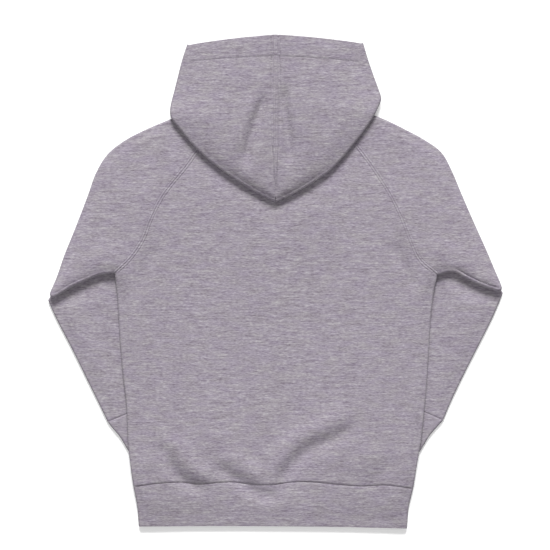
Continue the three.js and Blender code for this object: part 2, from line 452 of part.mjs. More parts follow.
function forearmAndCuff(p) {
  const out = curve(inset(p.fOut, p.turn, HALF)), inn = curve(inset(p.fIn, -p.turn, HALF));
  const cOut = curve([out.at(1), ...every(inset(p.cOut, p.turn, HALF), 12).slice(1)]), cIn = curve([inn.at(1), ...every(inset(p.cIn, -p.turn, HALF), 12).slice(1)]);
  const bump = 0.07; // the hidden end is a little rounded
  const near = (w) => {
    const a = out.at(0), b = inn.at(0), t = unit(sub(b, a)), q = [mix(a[0], b[0], w), mix(a[1], b[1], w)];
    const rise = len(sub(b, a)) * bump * 4 * w * (1 - w);
    return [q[0] - t[1] * rise * p.side, q[1] + t[0] * rise * p.side];
  };
  const nearLine = Array.from({ length: 24 }, (_, i) => near(i / 23));
  const edge = [...every(out.dense, 6).reverse(), ...nearLine, ...every(inn.dense, 6)];
  const cuffEdges = [every(cOut.dense, 6), every(cIn.dense, 6)];
  const bodyLine = p.sideMid.dense, creaseLine = p.creaseMid.dense;
  const a = out.at(1), b = inn.at(1), seamAlong = unit(sub(b, a)), gap = across(seamAlong);
  const down = gap.y < 0 ? 1 : -1, g = [gap.x * down * SEAM / 2, gap.y * down * SEAM / 2];
  const shorten = (c, s) => { const q = c.at(s); return [q[0] - g[0] * s, q[1] - g[1] * s]; };
  const heights = (x, y) => {
    const d = nearest(edge, x, y).d;
    const free = Math.min(nearest(bodyLine, x, y).d, nearest(creaseLine, x, y).d);
    const showing = Math.abs(x) > Math.abs(p.sideMid.at(shareAtY(p.sideMid, y))[0]) && y < p.creaseMid.at(clamp((Math.abs(x) - Math.abs(p.armpit[0])) / (Math.abs(p.corner[0]) - Math.abs(p.armpit[0]))))[1];
    const puff = showing ? 2.0 * ease((free - 9) / 14) * ease((d - 2) / 14) * ease(((y + 150) / 40)) : 0;
    return { lower: HALF, upper: HALF + PLY - 0.1 + puff, edge: d };
  };
  const forearm = tube(p, (s) => shorten(out, s), (s) => shorten(inn, s), FOREARM_ROWS, FOREARM_COLS, near, heights, [null, gap]);
  const cuffHeights = (x, y) => ({ lower: HALF, upper: HALF + PLY - 0.1, edge: Math.min(nearest(cuffEdges[0], x, y).d, nearest(cuffEdges[1], x, y).d) });
  const ca = cOut.at(1), cb = cIn.at(1), endAlong = across(unit(sub(cb, ca)));
  const push = (c, s) => { const q = c.at(s); return [q[0] + g[0] * (1 - s), q[1] + g[1] * (1 - s)]; };
  const cuff = tube(p, (s) => push(cOut, s), (s) => push(cIn, s), [0, 0.3, 0.65, 1], FOREARM_COLS, null, cuffHeights, [gap, endAlong]);
  return { forearm, cuff };
}

// Waist band: a flattened ring under the hem seam
function hemBand() {
  const cloth = new Cloth();
  const L = PLAN.left.sideMid, R = PLAN.right.sideMid;
  const steps = [0, 0.3, 0.65, 1];
  const build = (which, cols) => steps.map((s, i) => cols.map((w, j) => {
    const topY = (c) => hemSeamY(c.at(0.15)[0]) - SEAM / 2;
    const yl = mix(topY(L), hemEndY(-148) + 0, s), yr = mix(topY(R), hemEndY(142), s);
    const xl = L.at(shareAtY(L, yl))[0], xr = R.at(shareAtY(R, yr))[0];
    const x = mix(xl, xr, w), y = mix(hemSeamY(x) - SEAM / 2, hemEndY(x), s);
    const shared = j === 0 || j === cols.length - 1;
    const l = layers(x, y);
    const z = shared ? (l.lower + l.upper) / 2 : foldedHeight(l.lower, l.upper, l.edge, which);
    const cuts = i === 0 || i === steps.length - 1 ? [LENGTHWAYS] : [];
    return cloth.add(shared ? `e${i}_${j ? 1 : 0}` : `${which}_${i}_${j}`, x, y, z, shared && which < 0 ? [] : cuts);
  }));
  cloth.grid(build(1, BACK_COLS), false);
  cloth.grid(build(-1, FRONT_COLS), true);
  return cloth;
}

// Hood half: from the neck seam out under itself, round the outer fold and back to the centre seam
const HOOD_ROWS = [0, 0.05, 0.1, 0.15, 0.2, 0.25, 0.31, 0.37, 0.43, 0.47, 0.485, 0.5, 0.53, 0.56, 0.6, 0.66, 0.76, 0.88, 1];
function table(rows, name, v) { // smooth reading of one column
  let i = 0;
  while (i < rows.length - 2 && rows[i + 1].v < v) i += 1;
  const a = rows[Math.max(0, i - 1)], b = rows[i], c = rows[i + 1], d = rows[Math.min(rows.length - 1, i + 2)];
  const t = (v - b.v) / (c.v - b.v), w = c.v - b.v;
  const m0 = i > 0 ? ((c[name] - a[name]) / (c.v - a.v)) * w : (c[name] - b[name]);
  const m1 = i < rows.length - 2 ? ((d[name] - b[name]) / (d.v - b.v)) * w : (c[name] - b[name]);
  const t2 = t * t, t3 = t2 * t;
  return (2 * t3 - 3 * t2 + 1) * b[name] + (t3 - 2 * t2 + t) * m0 + (-2 * t3 + 3 * t2) * c[name] + (t3 - t2) * m1;
}
const NECK_V = { raglanBack: 0.4, shoulder: 0.5, raglanFront: 0.66 };
function neckEdge(v, p) { // plan point (out, y), height and the way out of the garment
  const mirror = (q) => [Math.abs(q[0]), q[1]];
  const nose = mirror(p.outMid.at(1)), endB = mirror(p.back.at(1)), endF = mirror(p.front.at(1));
  const back = curve([...NECK_BACK.slice(0, -1).map((r) => [r.out, r.y]), endB]), front = curve([...NECK_FRONT.slice(0, -1).map((r) => [r.out, r.y]), endF]);
  let q, t, which, w = 0;
  if (v <= NECK_V.raglanBack) { q = back.at(v / NECK_V.raglanBack); t = back.along(v / NECK_V.raglanBack); which = 1; }
  else if (v <= NECK_V.shoulder) { w = (v - NECK_V.raglanBack) / (NECK_V.shoulder - NECK_V.raglanBack); q = [mix(endB[0], nose[0], w), mix(endB[1], nose[1], w)]; t = unit(sub(nose, endB)); which = 1; }
  else if (v <= NECK_V.raglanFront) { w = 1 - (v - NECK_V.shoulder) / (NECK_V.raglanFront - NECK_V.shoulder); q = [mix(endF[0], nose[0], w), mix(endF[1], nose[1], w)]; t = unit(sub(nose, endF)); which = -1; }
  else { const f = 1 - (v - NECK_V.raglanFront) / (1 - NECK_V.raglanFront); q = front.at(f); t = front.along(f); which = -1; }
  const way = unit([-t[1], t[0]]);
  const l = layers(q[0] * p.side, q[1]);
  return { q, way, z: v === NECK_V.shoulder ? (l.lower + l.upper) / 2 : foldedHeight(l.lower, l.upper, l.edge, which) };
}
function hoodHalf(p) {
  const cloth = new Cloth();
  const edge = HOOD_EDGE.map((r) => (p.left ? { v: r.v, x: r.left, y: r.yl } : { v: r.v, x: r.right, y: r.yr }));
  const rows = HOOD_ROWS.map((v, i) => {
    const col = (name) => table(HOOD_SECTION, name, v);
    const n = neckEdge(v, p), roll = clamp(col('roll'));
    const start = [n.q[0] + n.way[0] * SEAM, n.q[1] + n.way[1] * SEAM, n.z];
    const ahead = (d, up) => [start[0] + n.way[0] * d, start[1] + n.way[1] * d, start[2] + up];
    const under = [col('ux'), col('uy'), col('uz')];
    const pass = [col('px'), col('py'), col('pz')], leave = ahead(2.2, 0);
    const between = (a, b, f) => a.map((k, m) => mix(k, b[m], f));
    const blend = (a, b) => a.map((k, m) => mix(b[m], k, roll));
    const r = 1.3;
    const rise = under[2] - start[2];
    const path = [start,
      blend(ahead(1.4, 0), leave),
      blend(ahead(1.4 + r * 0.8, rise * 0.25), between(leave, pass, 0.5)),
      blend(ahead(1.4 + r * 0.8, rise * 0.75), pass),
      blend(ahead(1.2, rise), between(pass, under, 0.5))];
    // the outer fold
    const e = [table(edge, 'x', v), table(edge, 'y', v)];
    const t = unit([table(edge, 'x', Math.min(1, v + 0.01)) - table(edge, 'x', Math.max(0, v - 0.01)), table(edge, 'y', Math.min(1, v + 0.01)) - table(edge, 'y', Math.max(0, v - 0.01))]);
    let o = [t[1], -t[0]]; // outward
    if (v === 0) o = [0, -1];
    const low = col('low'), gap = col('gap'), mid = [e[0] - o[0] * HALF, e[1] - o[1] * HALF];
    const foldAt = (deg) => { const a = (deg * Math.PI) / 180, k = gap * (1 - Math.cos(a)); return [mid[0] - o[0] * k, mid[1] - o[1] * k, low + gap + gap * Math.sin(a)]; };
    const last = path[path.length - 1], first = foldAt(-90);
    const join = new THREE.QuadraticBezierCurve3(new THREE.Vector3(...last), new THREE.Vector3(...under), new THREE.Vector3(...first));
    for (const f of [0.3, 0.6, 0.85]) { const q = join.getPoint(f); path.push([q.x, q.y, q.z]); }
    for (const deg of [-90, -55, -20, 20, 55, 90]) path.push(foldAt(deg));
    const top = foldAt(90), seam = [0, col('sy'), col('sz')], bow = v > 0.88 ? 0.8 * ease((v - 0.88) / 0.12) : 0;
    for (const f of [0.09, 0.22, 0.37, 0.52, 0.66, 0.79, 0.9, 1]) {
      const x = mix(top[0], seam[0], f), y = mix(top[1], seam[1], f) + bow * 4 * f * (1 - f);
      const z = mix(top[2], seam[2], Math.sin((f * Math.PI) / 2)) + col('crown') * Math.sin(Math.PI * f) * 0.8;
      path.push([x, y, z + press(HOOD_CREASES, x * p.side, y) * ease(f / 0.3) * ease(v / 0.12)]);
    }
    return path.map((q, j) => {
      const atCentre = i === 0 || j === path.length - 1;
      const x = atCentre ? p.side * SEAM / 2 : Math.max(q[0], SEAM / 2 + 0.02) * p.side;
      const cuts = [];
      if (atCentre) cuts.push(SIDEWAYS);
      if (j === 0) cuts.push(new THREE.Vector3(n.way[0] * p.side, n.way[1], 0));
      return cloth.add(`${i}_${j}`, x, q[1], q[2], cuts);
    });
  });
  cloth.grid(rows, p.side > 0);
  return cloth;
}

// Joining of a sleeve's parts
const wasm = await Module();
wasm.setup();
function toManifold(geometry) {
  const g = mergeVertices(geometry, 1e-4);
  return new wasm.Manifold(new wasm.Mesh({ numProp: 3, vertProperties: new Float32Array(g.attributes.position.array), triVerts: new Uint32Array(g.index.array) }));
}
function fromManifold(m) {
  const mesh = m.getMesh(), g = new THREE.BufferGeometry();
  g.setAttribute('position', new THREE.Float32BufferAttribute(mesh.vertProperties, 3));
  g.setIndex([...mesh.triVerts]);
  return g;
}
// Hidden under the crease, the two layers of a sleeve share one rounded pad
function elbowPad(p) {
  const a = p.creaseMid.at(0.12), b = p.creaseMid.at(0.5), c = [(a[0] + b[0]) / 2, (a[1] + b[1]) / 2 + 8.5];
  const g = new THREE.CylinderGeometry(3.5, 3.5, 2.6, 20).rotateX(Math.PI / 2);
  g.scale(len(sub(a, b)) / 8, 1, 1).rotateZ(Math.atan2(b[1] - a[1], b[0] - a[0])).translate(c[0], c[1], HALF + PLY + 1.2);
  return mergeVertices(g.deleteAttribute('normal').deleteAttribute('uv'), 1e-4);
}

const group = new THREE.Group();
const knit = (tone) => new THREE.MeshStandardMaterial({ color: new THREE.Color(tone), roughness: 0.92, metalness: 0 });
function piece(name, geometry, tone) {
  const g = geometry.index ? geometry.toNonIndexed() : geometry;
  g.computeVertexNormals();
  const mesh = new THREE.Mesh(g, knit(tone));
  mesh.name = name;
  group.add(mesh);
  return mesh;
}
piece('front', bodyPanel(-1, FRONT_COLS, (p) => p.front, NECK_FRONT).solid(), '#a29aa5');
piece('back', bodyPanel(1, BACK_COLS, (p) => p.back, NECK_BACK).solid(), '#a29aa5');
for (const [name, p] of Object.entries(PLAN)) {
  const { forearm, cuff } = forearmAndCuff(p);
  const joined = toManifold(sleeveUpper(p).solid()).add(toManifold(forearm.solid())).add(toManifold(elbowPad(p)));
  piece(`sleeve_${name}`, fromManifold(joined), '#a098a3');
  piece(`cuff_${name}`, cuff.solid(), '#9c949f');
  piece(`hood_${name}`, hoodHalf(p).solid(), '#a39ca6');
}
piece('hem_band', hemBand().solid(), '#9f97a2');

const box = new THREE.Box3().setFromObject(group), centre = box.getCenter(new THREE.Vector3());
for (const mesh of group.children) mesh.geometry.translate(-centre.x, -centre.y, -box.min.z);

export default group;
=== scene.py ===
# Toddler hoodie laid flat on its front: cloth, seams, stitching, floor, light and camera.
import math
from functools import lru_cache

import bmesh
import bpy
import numpy as np
from mathutils import Matrix, Vector


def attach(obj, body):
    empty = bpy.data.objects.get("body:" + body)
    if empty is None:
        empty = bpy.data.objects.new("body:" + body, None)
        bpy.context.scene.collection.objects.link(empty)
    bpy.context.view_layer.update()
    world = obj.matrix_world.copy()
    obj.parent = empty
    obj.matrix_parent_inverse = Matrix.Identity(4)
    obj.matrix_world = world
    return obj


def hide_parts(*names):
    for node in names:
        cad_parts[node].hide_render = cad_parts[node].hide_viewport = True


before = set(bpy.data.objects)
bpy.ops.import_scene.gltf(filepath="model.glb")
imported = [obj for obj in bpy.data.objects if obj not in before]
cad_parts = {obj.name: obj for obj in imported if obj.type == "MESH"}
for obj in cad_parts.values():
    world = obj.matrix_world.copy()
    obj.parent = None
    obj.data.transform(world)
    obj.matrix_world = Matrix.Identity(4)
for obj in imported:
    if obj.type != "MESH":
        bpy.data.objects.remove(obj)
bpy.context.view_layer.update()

# Named sizes, in millimetres like every table below
MM = 0.001
CLOTH = 2.0
HALF = CLOTH / 2
SEAM = 0.3
PLY = 2.7
LIFT = 5.0
FOLD = [0, 0.05, 0.2, 0.45, 0.8, 1.2, 1.6, 2.0, 2.4, 2.9, 3.5, 4.4, 5.8]  # stations beside a fold or seam
AIR = 2.6  # between the back and what lies under it, away from the edges
STITCH_ROW = 2.0  # from a seam to the row of stitches beside it
LIP = {-1: 3.2, 1: 2.4}  # height added beside the elbow fold, left and right
ROLL_STRIP = {-1: 0.3, 1: 1.6}  # depth of the groove above the elbow fold, left and right
SEAM_STRENGTH = {-1: 1.45, 1: 1.1}
HOOD_HEM = (0.862, 0.834)  # where the hem of the face edge is sewn down, at the sides and at the centre
FRAME_SHIFT = 0.15

# Outlines, a row for each station: left x, left y, right x, right y
SIDE_BODY = [
    (147.4, -264.6, 141.8, -266.0), (149.8, -239.8, 144.2, -239.8), (153.4, -220.3, 148.8, -220.3),
    (156.1, -200.9, 151.7, -200.9), (159.0, -175.0, 156.1, -175.0), (160.4, -136.1, 160.4, -136.1),
    (164.7, -97.2, 163.6, -97.2), (167.9, -58.3, 165.8, -58.3), (170.1, -19.4, 169.0, -19.4),
    (173.3, 10.0, 174.4, 8.0),
]
SLEEVE_OUT = [
    (244.1, -17.3, 244.6, -9.7), (238.3, -2.2, 242.0, -2.2), (229.7, 23.8, 231.7, 23.8),
    (216.0, 58.3, 216.5, 58.3), (202.8, 92.9, 201.4, 92.9), (193.3, 118.8, 190.6, 118.8),
    (182.8, 136.1, 182.0, 136.1), (173.6, 144.7, 173.3, 144.7), (161.5, 153.4, 160.4, 153.4),
    (145.2, 162.0, 144.6, 162.0), (126.0, 170.6, 128.2, 170.6), (109.4, 177.2, 111.6, 177.8),
    (75.0, 191.0, 75.0, 191.0),
]
ELBOW = (246.4, -21.0, 247.0, -13.2)
ELBOW_ROUND = 3.6
CREASE = [
    (173.3, 10.0, 174.4, 8.0), (182.0, 9.8, 185.6, 11.4), (194.9, 4.9, 196.0, 8.0),
    (207.0, -0.2, 210.0, 0.8), (219.2, -5.8, 223.0, -5.2), (232.0, -12.8, 235.0, -10.6),
]
RAGLAN_BACK = [
    (173.3, 10.0, 174.4, 8.0), (157.0, 25.0, 155.5, 24.0), (143.1, 45.4, 145.3, 45.4), (134.2, 68.0, 136.6, 68.0),
    (121.5, 92.9, 124.5, 92.9), (92.8, 130.0, 100.5, 130.0), (65.0, 173.5, 66.0, 174.5),
]
RAGLAN_FRONT = [
    (173.3, 10.0, 174.4, 8.0), (153.0, 30.0, 153.0, 26.0), (128.0, 66.0, 130.0, 68.0),
    (84.0, 122.0, 86.0, 124.0), (58.0, 154.5, 58.0, 154.5),
]
NECK_BACK = [(0, 168.6), (26, 168.9), (50, 170.4), (65.5, 174.0)]
NECK_FRONT = [(0, 126.4), (18, 128.4), (38, 137.8), (58, 154.5)]
FOREARM_OUT = [
    (245.4, -20.0, 245.2, -12.2), (238.1, -36.7, 234.9, -36.7), (220.2, -71.3, 217.6, -71.3),
    (203.2, -105.8, 200.2, -105.8), (190.4, -131.8, 188.0, -131.8), (181.1, -151.0, 180.9, -149.0),
]
FOREARM_IN = [(141.0, 58.0, 141.0, 62.0), (124.0, -40.0, 124.0, -38.0), (111.8, -122.0, 111.8, -120.0)]
CUFF_OUT = [
    (181.1, -151.0, 180.9, -149.0), (176.0, -157.7, 173.0, -157.7), (168.6, -166.3, 165.8, -166.3),
    (163.2, -175.0, 160.6, -175.0), (153.9, -191.2, 151.7, -189.0),
]
CUFF_IN = [(111.8, -122.0, 111.8, -120.0), (104.0, -141.0, 104.0, -139.0), (98.0, -168.0, 97.0, -166.0)]
HEM_SEAM = [
    (-153.9, -220.9), (-126.9, -217.1), (-105.3, -216.0), (-81.5, -217.7), (-49.7, -215.8), (-25.4, -218.4),
    (-3.8, -218.9), (17.8, -216.0), (39.4, -215.8), (66.4, -218.2), (92.3, -220.1), (119.3, -218.9),
    (149.0, -223.0),
]
HEM_END = [(-148.3, -263.6), (-60, -263.2), (60, -264.0), (142.3, -265.8)]

# Creases: path, height, half width
CREASES = [
    ([(-124, -170), (-120, -184), (-108, -206), (-90, -219), (-72, -224)], -3.2, 7),  # hem left hook
    ([(-112, -162), (-106, -178), (-94, -196), (-80, -206), (-64, -208)], 2.8, 9),  # hem left puff
    ([(-68, -196), (-44, -212), (-32, -221), (-14, -230), (10, -230)], -3.0, 7),  # hem middle drag
    ([(-58, -183), (-36, -197), (-22, -206), (-8, -210)], 2.2, 9),
    ([(4, -228), (12, -207), (27, -188), (49, -175), (68, -167), (90, -148)], -3.0, 8),  # hem long drag
    ([(-6, -208), (3, -193), (18, -174), (40, -160), (58, -152), (78, -134)], 2.8, 10),  # hem long ridge
    ([(94, -223), (118, -203), (128, -188)], -1.4, 8),  # hem right drag
    ([(78, -206), (98, -190), (110, -176)], 1.4, 10),
    ([(124, 44), (137, 20), (150, -14)], -2.2, 8),  # armpit drag right
    ([(-126, 40), (-140, 14), (-150, -16)], -1.3, 8),  # armpit drag left
    ([(-160, 36), (-186, 24), (-214, 10)], 1.6, 12),  # sleeve roll left
    ([(158, 40), (184, 28), (220, 12)], 1.6, 12),  # sleeve roll right
]
FINE_CREASES = [
    ([(-160, -60), (-156, -120), (-151, -165), (-148, -200)], -1.6, 8),  # side hollow left
    ([(-146, -216), (-132, -205), (-118, -206)], -0.7, 4),  # puckers above the band
    ([(-60, -214), (-48, -206), (-36, -205)], 0.6, 5),
    ([(118, -219), (132, -212), (142, -214)], -0.7, 4),
    ([(-8, -214), (4, -198), (16, -180)], 0.7, 6),
    ([(-178, 26), (-204, 14), (-228, -2)], -0.5, 5),  # second roll above the elbow crease
    ([(182, 28), (208, 18), (234, 6)], -0.5, 5),
    ([(-132, 78), (-140, 50), (-152, 30)], 0.5, 7),  # drags along the armholes
    ([(134, 76), (142, 50), (156, 28)], 0.5, 7),
    ([(-196, 108), (-188, 70), (-200, 38)], -0.5, 12),
    ([(196, 104), (190, 68), (202, 34)], -0.5, 12),
    ([(-40, 60), (-30, 0), (-46, -60)], 0.5, 26),  # soft unevenness of the back
    ([(52, 40), (40, -30), (58, -90)], -0.5, 24),
]
FRONT_CREASES = [  # of the cloth that lies face down, lifted off the table
    ([(-70, -206), (-40, -190), (-22, -160)], 1.1, 9),
    ([(30, -208), (52, -186), (84, -176)], 1.2, 9),
    ([(96, -206), (110, -180), (112, -150)], 0.8, 8),
    ([(-112, -196), (-98, -170), (-96, -140)], 0.9, 9),
    ([(-50, 96), (-16, 84), (22, 92), (54, 84)], 0.7, 9),
    ([(-134, 24), (-112, -6), (-104, -40)], 0.9, 9),
    ([(134, 24), (114, -8), (104, -44)], 0.9, 9),
    ([(-150, 70), (-176, 60), (-204, 62)], 0.7, 10),
    ([(150, 72), (178, 60), (204, 64)], 0.7, 10),
]
HOOD_EDGE = [  # v, left x, left y, right x, right y
    (0, 0, 86.0, 0, 86.0), (0.1, 21.1, 96.7, 22.0, 96.2), (0.2, 49.6, 114.5, 47.0, 111.2),
    (0.3, 70.0, 129.8, 64.5, 125.4), (0.37, 88.0, 146.4, 84.8, 149.0), (0.43, 103.1, 164.2, 99.0, 168.0),
    (0.47, 112.0, 175.4, 106.9, 180.4), (0.5, 113.9, 183.6, 110.3, 187.8), (0.56, 112.4, 194.0, 113.9, 197.0),
    (0.65, 109.4, 206.0, 111.4, 207.0), (0.76, 105.3, 222.5, 105.8, 222.5), (0.88, 100.8, 240.0, 99.9, 239.8),
    (1, 95.4, 256.4, 94.4, 258.0),
]
HOOD_NAMES = ("v", "roll", "px", "py", "pz", "ux", "uy", "uz", "low", "gap", "sy", "sz", "crown")
HOOD_SECTION = [
    (0, 1, 0, 172, 6.2, 0, 130, 6.2, 6.2, 2.4, 97, 12.6, 0),
    (0.1, 1, 12, 172, 6.2, 12, 132, 6.2, 6.2, 2.5, 106, 15.0, 0.5),
    (0.2, 1, 30, 172, 6.2, 46, 142, 6.2, 6.2, 2.6, 122, 16.3, 0.6),
    (0.3, 1, 50, 174, 6.2, 64, 152, 6.2, 6.2, 2.7, 139, 16.9, 0.9),
    (0.37, 1, 60, 176, 6.2, 76, 162, 6.2, 6.2, 2.7, 151, 17.1, 1.2),
    (0.43, 1, 66, 184, 6.3, 85, 173, 6.4, 6.2, 2.6, 163, 17.3, 1.6),
    (0.47, 1, 70, 194, 6.4, 92, 183, 6.8, 6.2, 2.4, 174, 17.5, 2.0),
    (0.5, 0, 72, 198.5, 6.4, 94, 194, 6.4, 5.5, 2.2, 183, 17.7, 2.2),
    (0.53, 0, 68.5, 199, 3.4, 92, 199, 4.6, 4.4, 2.0, 189, 17.7, 2.4),
    (0.56, 0, 67, 199, 1.7, 90, 203, 3.2, 3.4, 2.0, 196, 17.7, 2.6),
    (0.65, 0, 63, 197, 1.0, 85, 208, 1.5, 1.7, 2.0, 212, 17.4, 2.9),
    (0.76, 0, 56, 191, 1.0, 78, 211, 1.0, 1.0, 2.0, 231, 16.7, 2.8),
    (0.88, 0, 46, 182, 1.0, 68, 208, 1.0, 1.0, 1.9, 250, 15.4, 2.4),
    (1, 0, 37, 176, 1.0, 60, 207, 1.0, 1.0, 1.8, 265.8, 14, 1.6),
]
HOOD_CREASES = [
    ([(-9, 206), (-20, 177), (-27, 155), (-31, 136), (-33, 118)], -4.2, 6),  # trough left of the seam
    ([(-19, 204), (-31, 179), (-38, 158), (-43, 138)], 1.6, 7),
    ([(12, 214), (9, 196), (11.5, 173), (14, 151), (15, 122)], -4.0, 5.6),  # trough right of the seam
    ([(-1, 210), (-5, 178), (-9, 138)], 0.9, 7),  # ridge on the seam
    ([(24, 210), (22, 186), (27, 150)], 1.0, 8),
    ([(-70, 216), (-62, 196), (-70, 172)], -0.6, 12),
    ([(72, 214), (64, 190), (70, 168)], -0.6, 12),
]


# Plan geometry
def ease(t):
    c = np.clip(t, 0, 1)
    return c * c * (3 - 2 * c)


def mix(a, b, t):
    return a + (b - a) * t


def unit(v):
    v = np.asarray(v, float)
    return v / (np.linalg.norm(v) or 1)


class Line:
    """Smooth line through plan points, read by share of its length."""

    def __init__(self, points, samples=120):
        p = [np.array(q, float) for q in points]
        dense = []
        ends = [2 * p[0] - p[1]] + p + [2 * p[-1] - p[-2]]
        for i in range(1, len(ends) - 2):
            p0, p1, p2, p3 = ends[i - 1:i + 3]
            k = [max(np.linalg.norm(b - a), 1e-4) ** 0.5 for a, b in ((p0, p1), (p1, p2), (p2, p3))]
            m1 = ((p1 - p0) / k[0] - (p2 - p0) / (k[0] + k[1]) + (p2 - p1) / k[1]) * k[1]
            m2 = ((p2 - p1) / k[1] - (p3 - p1) / (k[1] + k[2]) + (p3 - p2) / k[2]) * k[1]
            for t in np.linspace(0, 1, 24, endpoint=False):
                dense.append((2 * t**3 - 3 * t**2 + 1) * p1 + (t**3 - 2 * t**2 + t) * m1
                             + (3 * t**2 - 2 * t**3) * p2 + (t**3 - t**2) * m2)
        dense.append(p[-1])
        dense = np.array(dense)
        run = np.concatenate([[0], np.cumsum(np.linalg.norm(np.diff(dense, axis=0), axis=1))])
        self.length = run[-1]
        share = np.linspace(0, 1, samples + 1)
        self.points = np.stack([np.interp(share * run[-1], run, dense[:, k]) for k in range(dense.shape[1])], axis=1)
        self.share = share

    def at(self, f):
        return np.stack([np.interp(f, self.share, self.points[:, k]) for k in range(self.points.shape[1])], axis=-1)

    def along(self, f):
        d = self.at(np.clip(np.asarray(f) + 0.006, 0, 1)) - self.at(np.clip(np.asarray(f) - 0.006, 0, 1))
        return d / np.maximum(np.linalg.norm(d, axis=-1, keepdims=True), 1e-9)

    def moved(self, side, depth=HALF):
        t = self.along(self.share)
        return self.points + np.stack([-t[:, 1], t[:, 0]], axis=1) * depth * side

    def share_at_y(self, y):
        order = np.argsort(self.points[:, 1])
        return np.interp(y, self.points[order, 1], self.share[order])


def every(points, n):
    return [p for i, p in enumerate(points) if i % n == 0 or i == len(points) - 1]


def nearest(line, x, y):
    """Distance to a line of points, and the share of it at the nearest place."""
    best, share = np.full(np.shape(x), np.inf), np.zeros(np.shape(x))
    line = np.asarray(line, float)
    for i in range(len(line) - 1):
        a, d = line[i], line[i + 1] - line[i]
        t = np.clip(((x - a[0]) * d[0] + (y - a[1]) * d[1]) / max(d @ d, 1e-12), 0, 1)
        r = np.hypot(x - a[0] - d[0] * t, y - a[1] - d[1] * t)
        closer = r < best
        best = np.where(closer, r, best)
        share = np.where(closer, (i + t) / (len(line) - 1), share)
    return best, share


def outside(loop, x, y):
    loop = np.asarray(loop, float)
    inside = np.zeros(np.shape(x), bool)
    for a, b in zip(loop, np.roll(loop, 1, axis=0)):
        if a[1] != b[1]:
            inside ^= ((a[1] > y) != (b[1] > y)) & (x < (b[0] - a[0]) * (y - a[1]) / (b[1] - a[1]) + a[0])
    return np.where(inside, 0, nearest(np.vstack([loop, loop[:1]]), x, y)[0])


@lru_cache(maxsize=None)
def smooth_path(path):
    return every(Line(path, 40).points, 4)


def press(creases, x, y):
    h = np.zeros(np.shape(x))
    for path, height, width in creases:
        d, share = nearest(smooth_path(tuple(path)), x, y)
        h += height * np.exp(-(d / width) ** 2) * ease(share / 0.25 + 0.15) * ease((1 - share) / 0.25 + 0.15)
    return h


class Side:
    """Plan of one side of the garment: -1 is the wearer's left."""

    def __init__(self, side):
        self.side, self.turn = side, -side
        read = self.read
        self.body = Line(every(Line(read(SIDE_BODY), 96).moved(-self.turn), 8))
        armpit = self.body.at(1.0)
        outer, crease = Line(read(SLEEVE_OUT), 96), Line(read(CREASE), 96)
        tip = read([ELBOW])[0]
        to_crease, to_outer = unit(crease.at(0.5) - tip), unit(outer.at(0.2) - tip)
        angle = math.acos(to_crease @ to_outer)
        middle = unit(to_crease + to_outer)
        r, away = ELBOW_ROUND - HALF, ELBOW_ROUND / math.sin(angle / 2)
        centre = tip + middle * away
        self.corner = centre - middle * r

        def foot(k):
            a = math.atan2(-middle[1], -middle[0]) + k * (math.pi - angle) / 2
            return centre + np.array([math.cos(a), math.sin(a)]) * r

        k = 1 if np.linalg.norm(foot(1) - crease.at(0.6)) < np.linalg.norm(foot(-1) - crease.at(0.6)) else -1
        self.crease = Line([armpit, *every(crease.moved(-self.turn), 24)[1:-1], foot(k), foot(k / 2), self.corner])
        self.outer = Line([self.corner, foot(-k / 2), foot(-k), *every(outer.moved(-self.turn), 8)[1:]])
        self.fold = np.vstack([self.body.points, self.crease.points[1:], self.outer.points[1:]])
        self.armpit = armpit
        self.back, self.front = self.seam(RAGLAN_BACK), self.seam(RAGLAN_FRONT)
        lines = [Line(read(t), 96) for t in (FOREARM_OUT, CUFF_OUT, CUFF_IN, FOREARM_IN)]
        out, cuff_out, cuff_in, inn = lines
        self.foot = np.array(every(out.points, 12) + every(cuff_out.points, 12)
                             + every(cuff_in.points, 12)[::-1] + every(inn.points, 12)[::-1])
        self.arm_out, self.arm_in = Line(out.moved(self.turn)), Line(inn.moved(-self.turn))
        self.cuff_out = Line([self.arm_out.at(1.0), *every(cuff_out.moved(self.turn), 12)[1:]])
        self.cuff_in = Line([self.arm_in.at(1.0), *every(cuff_in.moved(-self.turn), 12)[1:]])

    def read(self, table):
        return [np.array((-r[0], r[1]) if self.side < 0 else (r[2], r[3]), float) for r in table]

    def seam(self, table):
        p = self.read(table)
        p[0] = self.armpit
        return Line(p)


LEFT, RIGHT = Side(-1), Side(1)
HOOD_LOOP = [(-r[1], r[2]) for r in HOOD_EDGE] + [(r[3], r[4]) for r in HOOD_EDGE][::-1]
hem_seam, hem_end = Line(HEM_SEAM), Line(HEM_END)


def hem_y(line, x):
    return np.interp(x, line.points[:, 0], line.points[:, 1])


